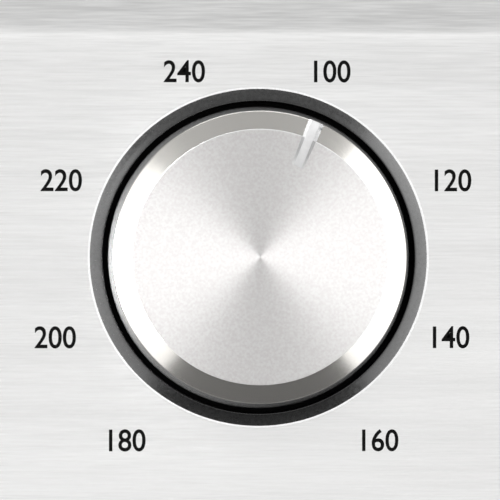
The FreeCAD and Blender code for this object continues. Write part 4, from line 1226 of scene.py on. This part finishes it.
def top_light(power, pieces, state):
    """A large soft box high over the back of the oven, which lights the floor and the top."""
    light = soft_light("top_light", Vector(top_box_place), Vector(top_box_aim), *top_box, power)
    aim_only(light, pieces, state)


def make_lights(floor, cap, ring):
    """Soft boxes. Those that the dial mirrors would glare on the rest, which has dimmer ones of its own."""
    wrap = frame["nodes"]["outer_wrap"]
    side_lights(dial_boxes, [cap, ring], "INCLUDE")
    side_lights(oven_boxes, [cap, ring, floor], "EXCLUDE")
    skirt_light(cap)
    back_light([floor, wrap])
    front_light([floor])
    top_light(top_power, [wrap], "EXCLUDE")
    top_light(case_top_power, [wrap], "INCLUDE")


def make_world():
    """A pale room: bright a little over the horizon, dimmer overhead and dark underneath."""
    world = bpy.data.worlds.new("studio")
    bpy.context.scene.world = world
    world.use_nodes = True
    tree = world.node_tree
    tree.nodes.clear()
    direction = node(tree, "TexCoord", {}).outputs["Generated"]
    height = node(tree, "SeparateXYZ", {0: direction}).outputs[2]
    ramp = node(tree, "ValToRGB", {0: spread(tree, height, 0.0, 1.0, -1.0, 1.0)})
    for place, level in room_levels[2:]:
        ramp.color_ramp.elements.new(place)
    for stop, (place, level) in zip(ramp.color_ramp.elements, room_levels):
        stop.position = place
        stop.color = (*grey(level), 1)
    light = node(tree, "Background", {"Color": ramp.outputs[0], "Strength": 1.0})
    backdrop = node(tree, "Background", {"Color": (*backdrop_colour, 1), "Strength": 1.0})
    seen = node(tree, "LightPath", {}).outputs["Is Camera Ray"]
    mixed = node(tree, "MixShader", {0: seen, 1: light.outputs[0], 2: backdrop.outputs[0]})
    output = node(tree, "OutputWorld", {0: mixed.outputs[0]})
    output.is_active_output = True


def make_floor():
    """A large pale floor, which fades into the backdrop far from the oven."""
    mesh = bpy.data.meshes.new("floor")
    half = floor_half
    corners = [(-half, -half, 0), (half, -half, 0), (half, half, 0), (-half, half, 0)]
    mesh.from_pydata(corners, [], [(0, 1, 2, 3)])
    surface = finish("floor", grey(0.74), grey(0.76), (0.6, 0.7), (6, 6, 6))
    tree = surface.node_tree
    place = node(tree, "TexCoord", {}).outputs["Object"]
    away = node(tree, "VectorMath", {0: place}, operation="LENGTH").outputs["Value"]
    far = spread(tree, away, 0.0, 1.0, *floor_fade)
    glow = node(tree, "Emission", {"Color": (*backdrop_colour, 1), "Strength": 1.0}).outputs[0]
    near = tree.nodes["Principled BSDF"].outputs[0]
    mixed = node(tree, "MixShader", {0: far, 1: near, 2: glow})
    tree.links.new(mixed.outputs[0], tree.nodes["Material Output"].inputs["Surface"])
    mesh.materials.append(surface)
    floor = bpy.data.objects.new("floor", mesh)
    bpy.context.scene.collection.objects.link(floor)
    floor.location.z = cad_box[0][2]
    floor.visible_glossy = False
    floor.visible_shadow = False
    return floor


dress_nodes()
cap = make_dial_cap()
ring = make_dial_ring()
make_numbers()
make_buttons()
make_handle_bar()
make_feet()
make_screws()
make_heater_wires()
make_digits()
make_camera()
make_lights(make_floor(), cap, ring)
make_world()
bpy.context.scene.view_settings.view_transform = "Standard"
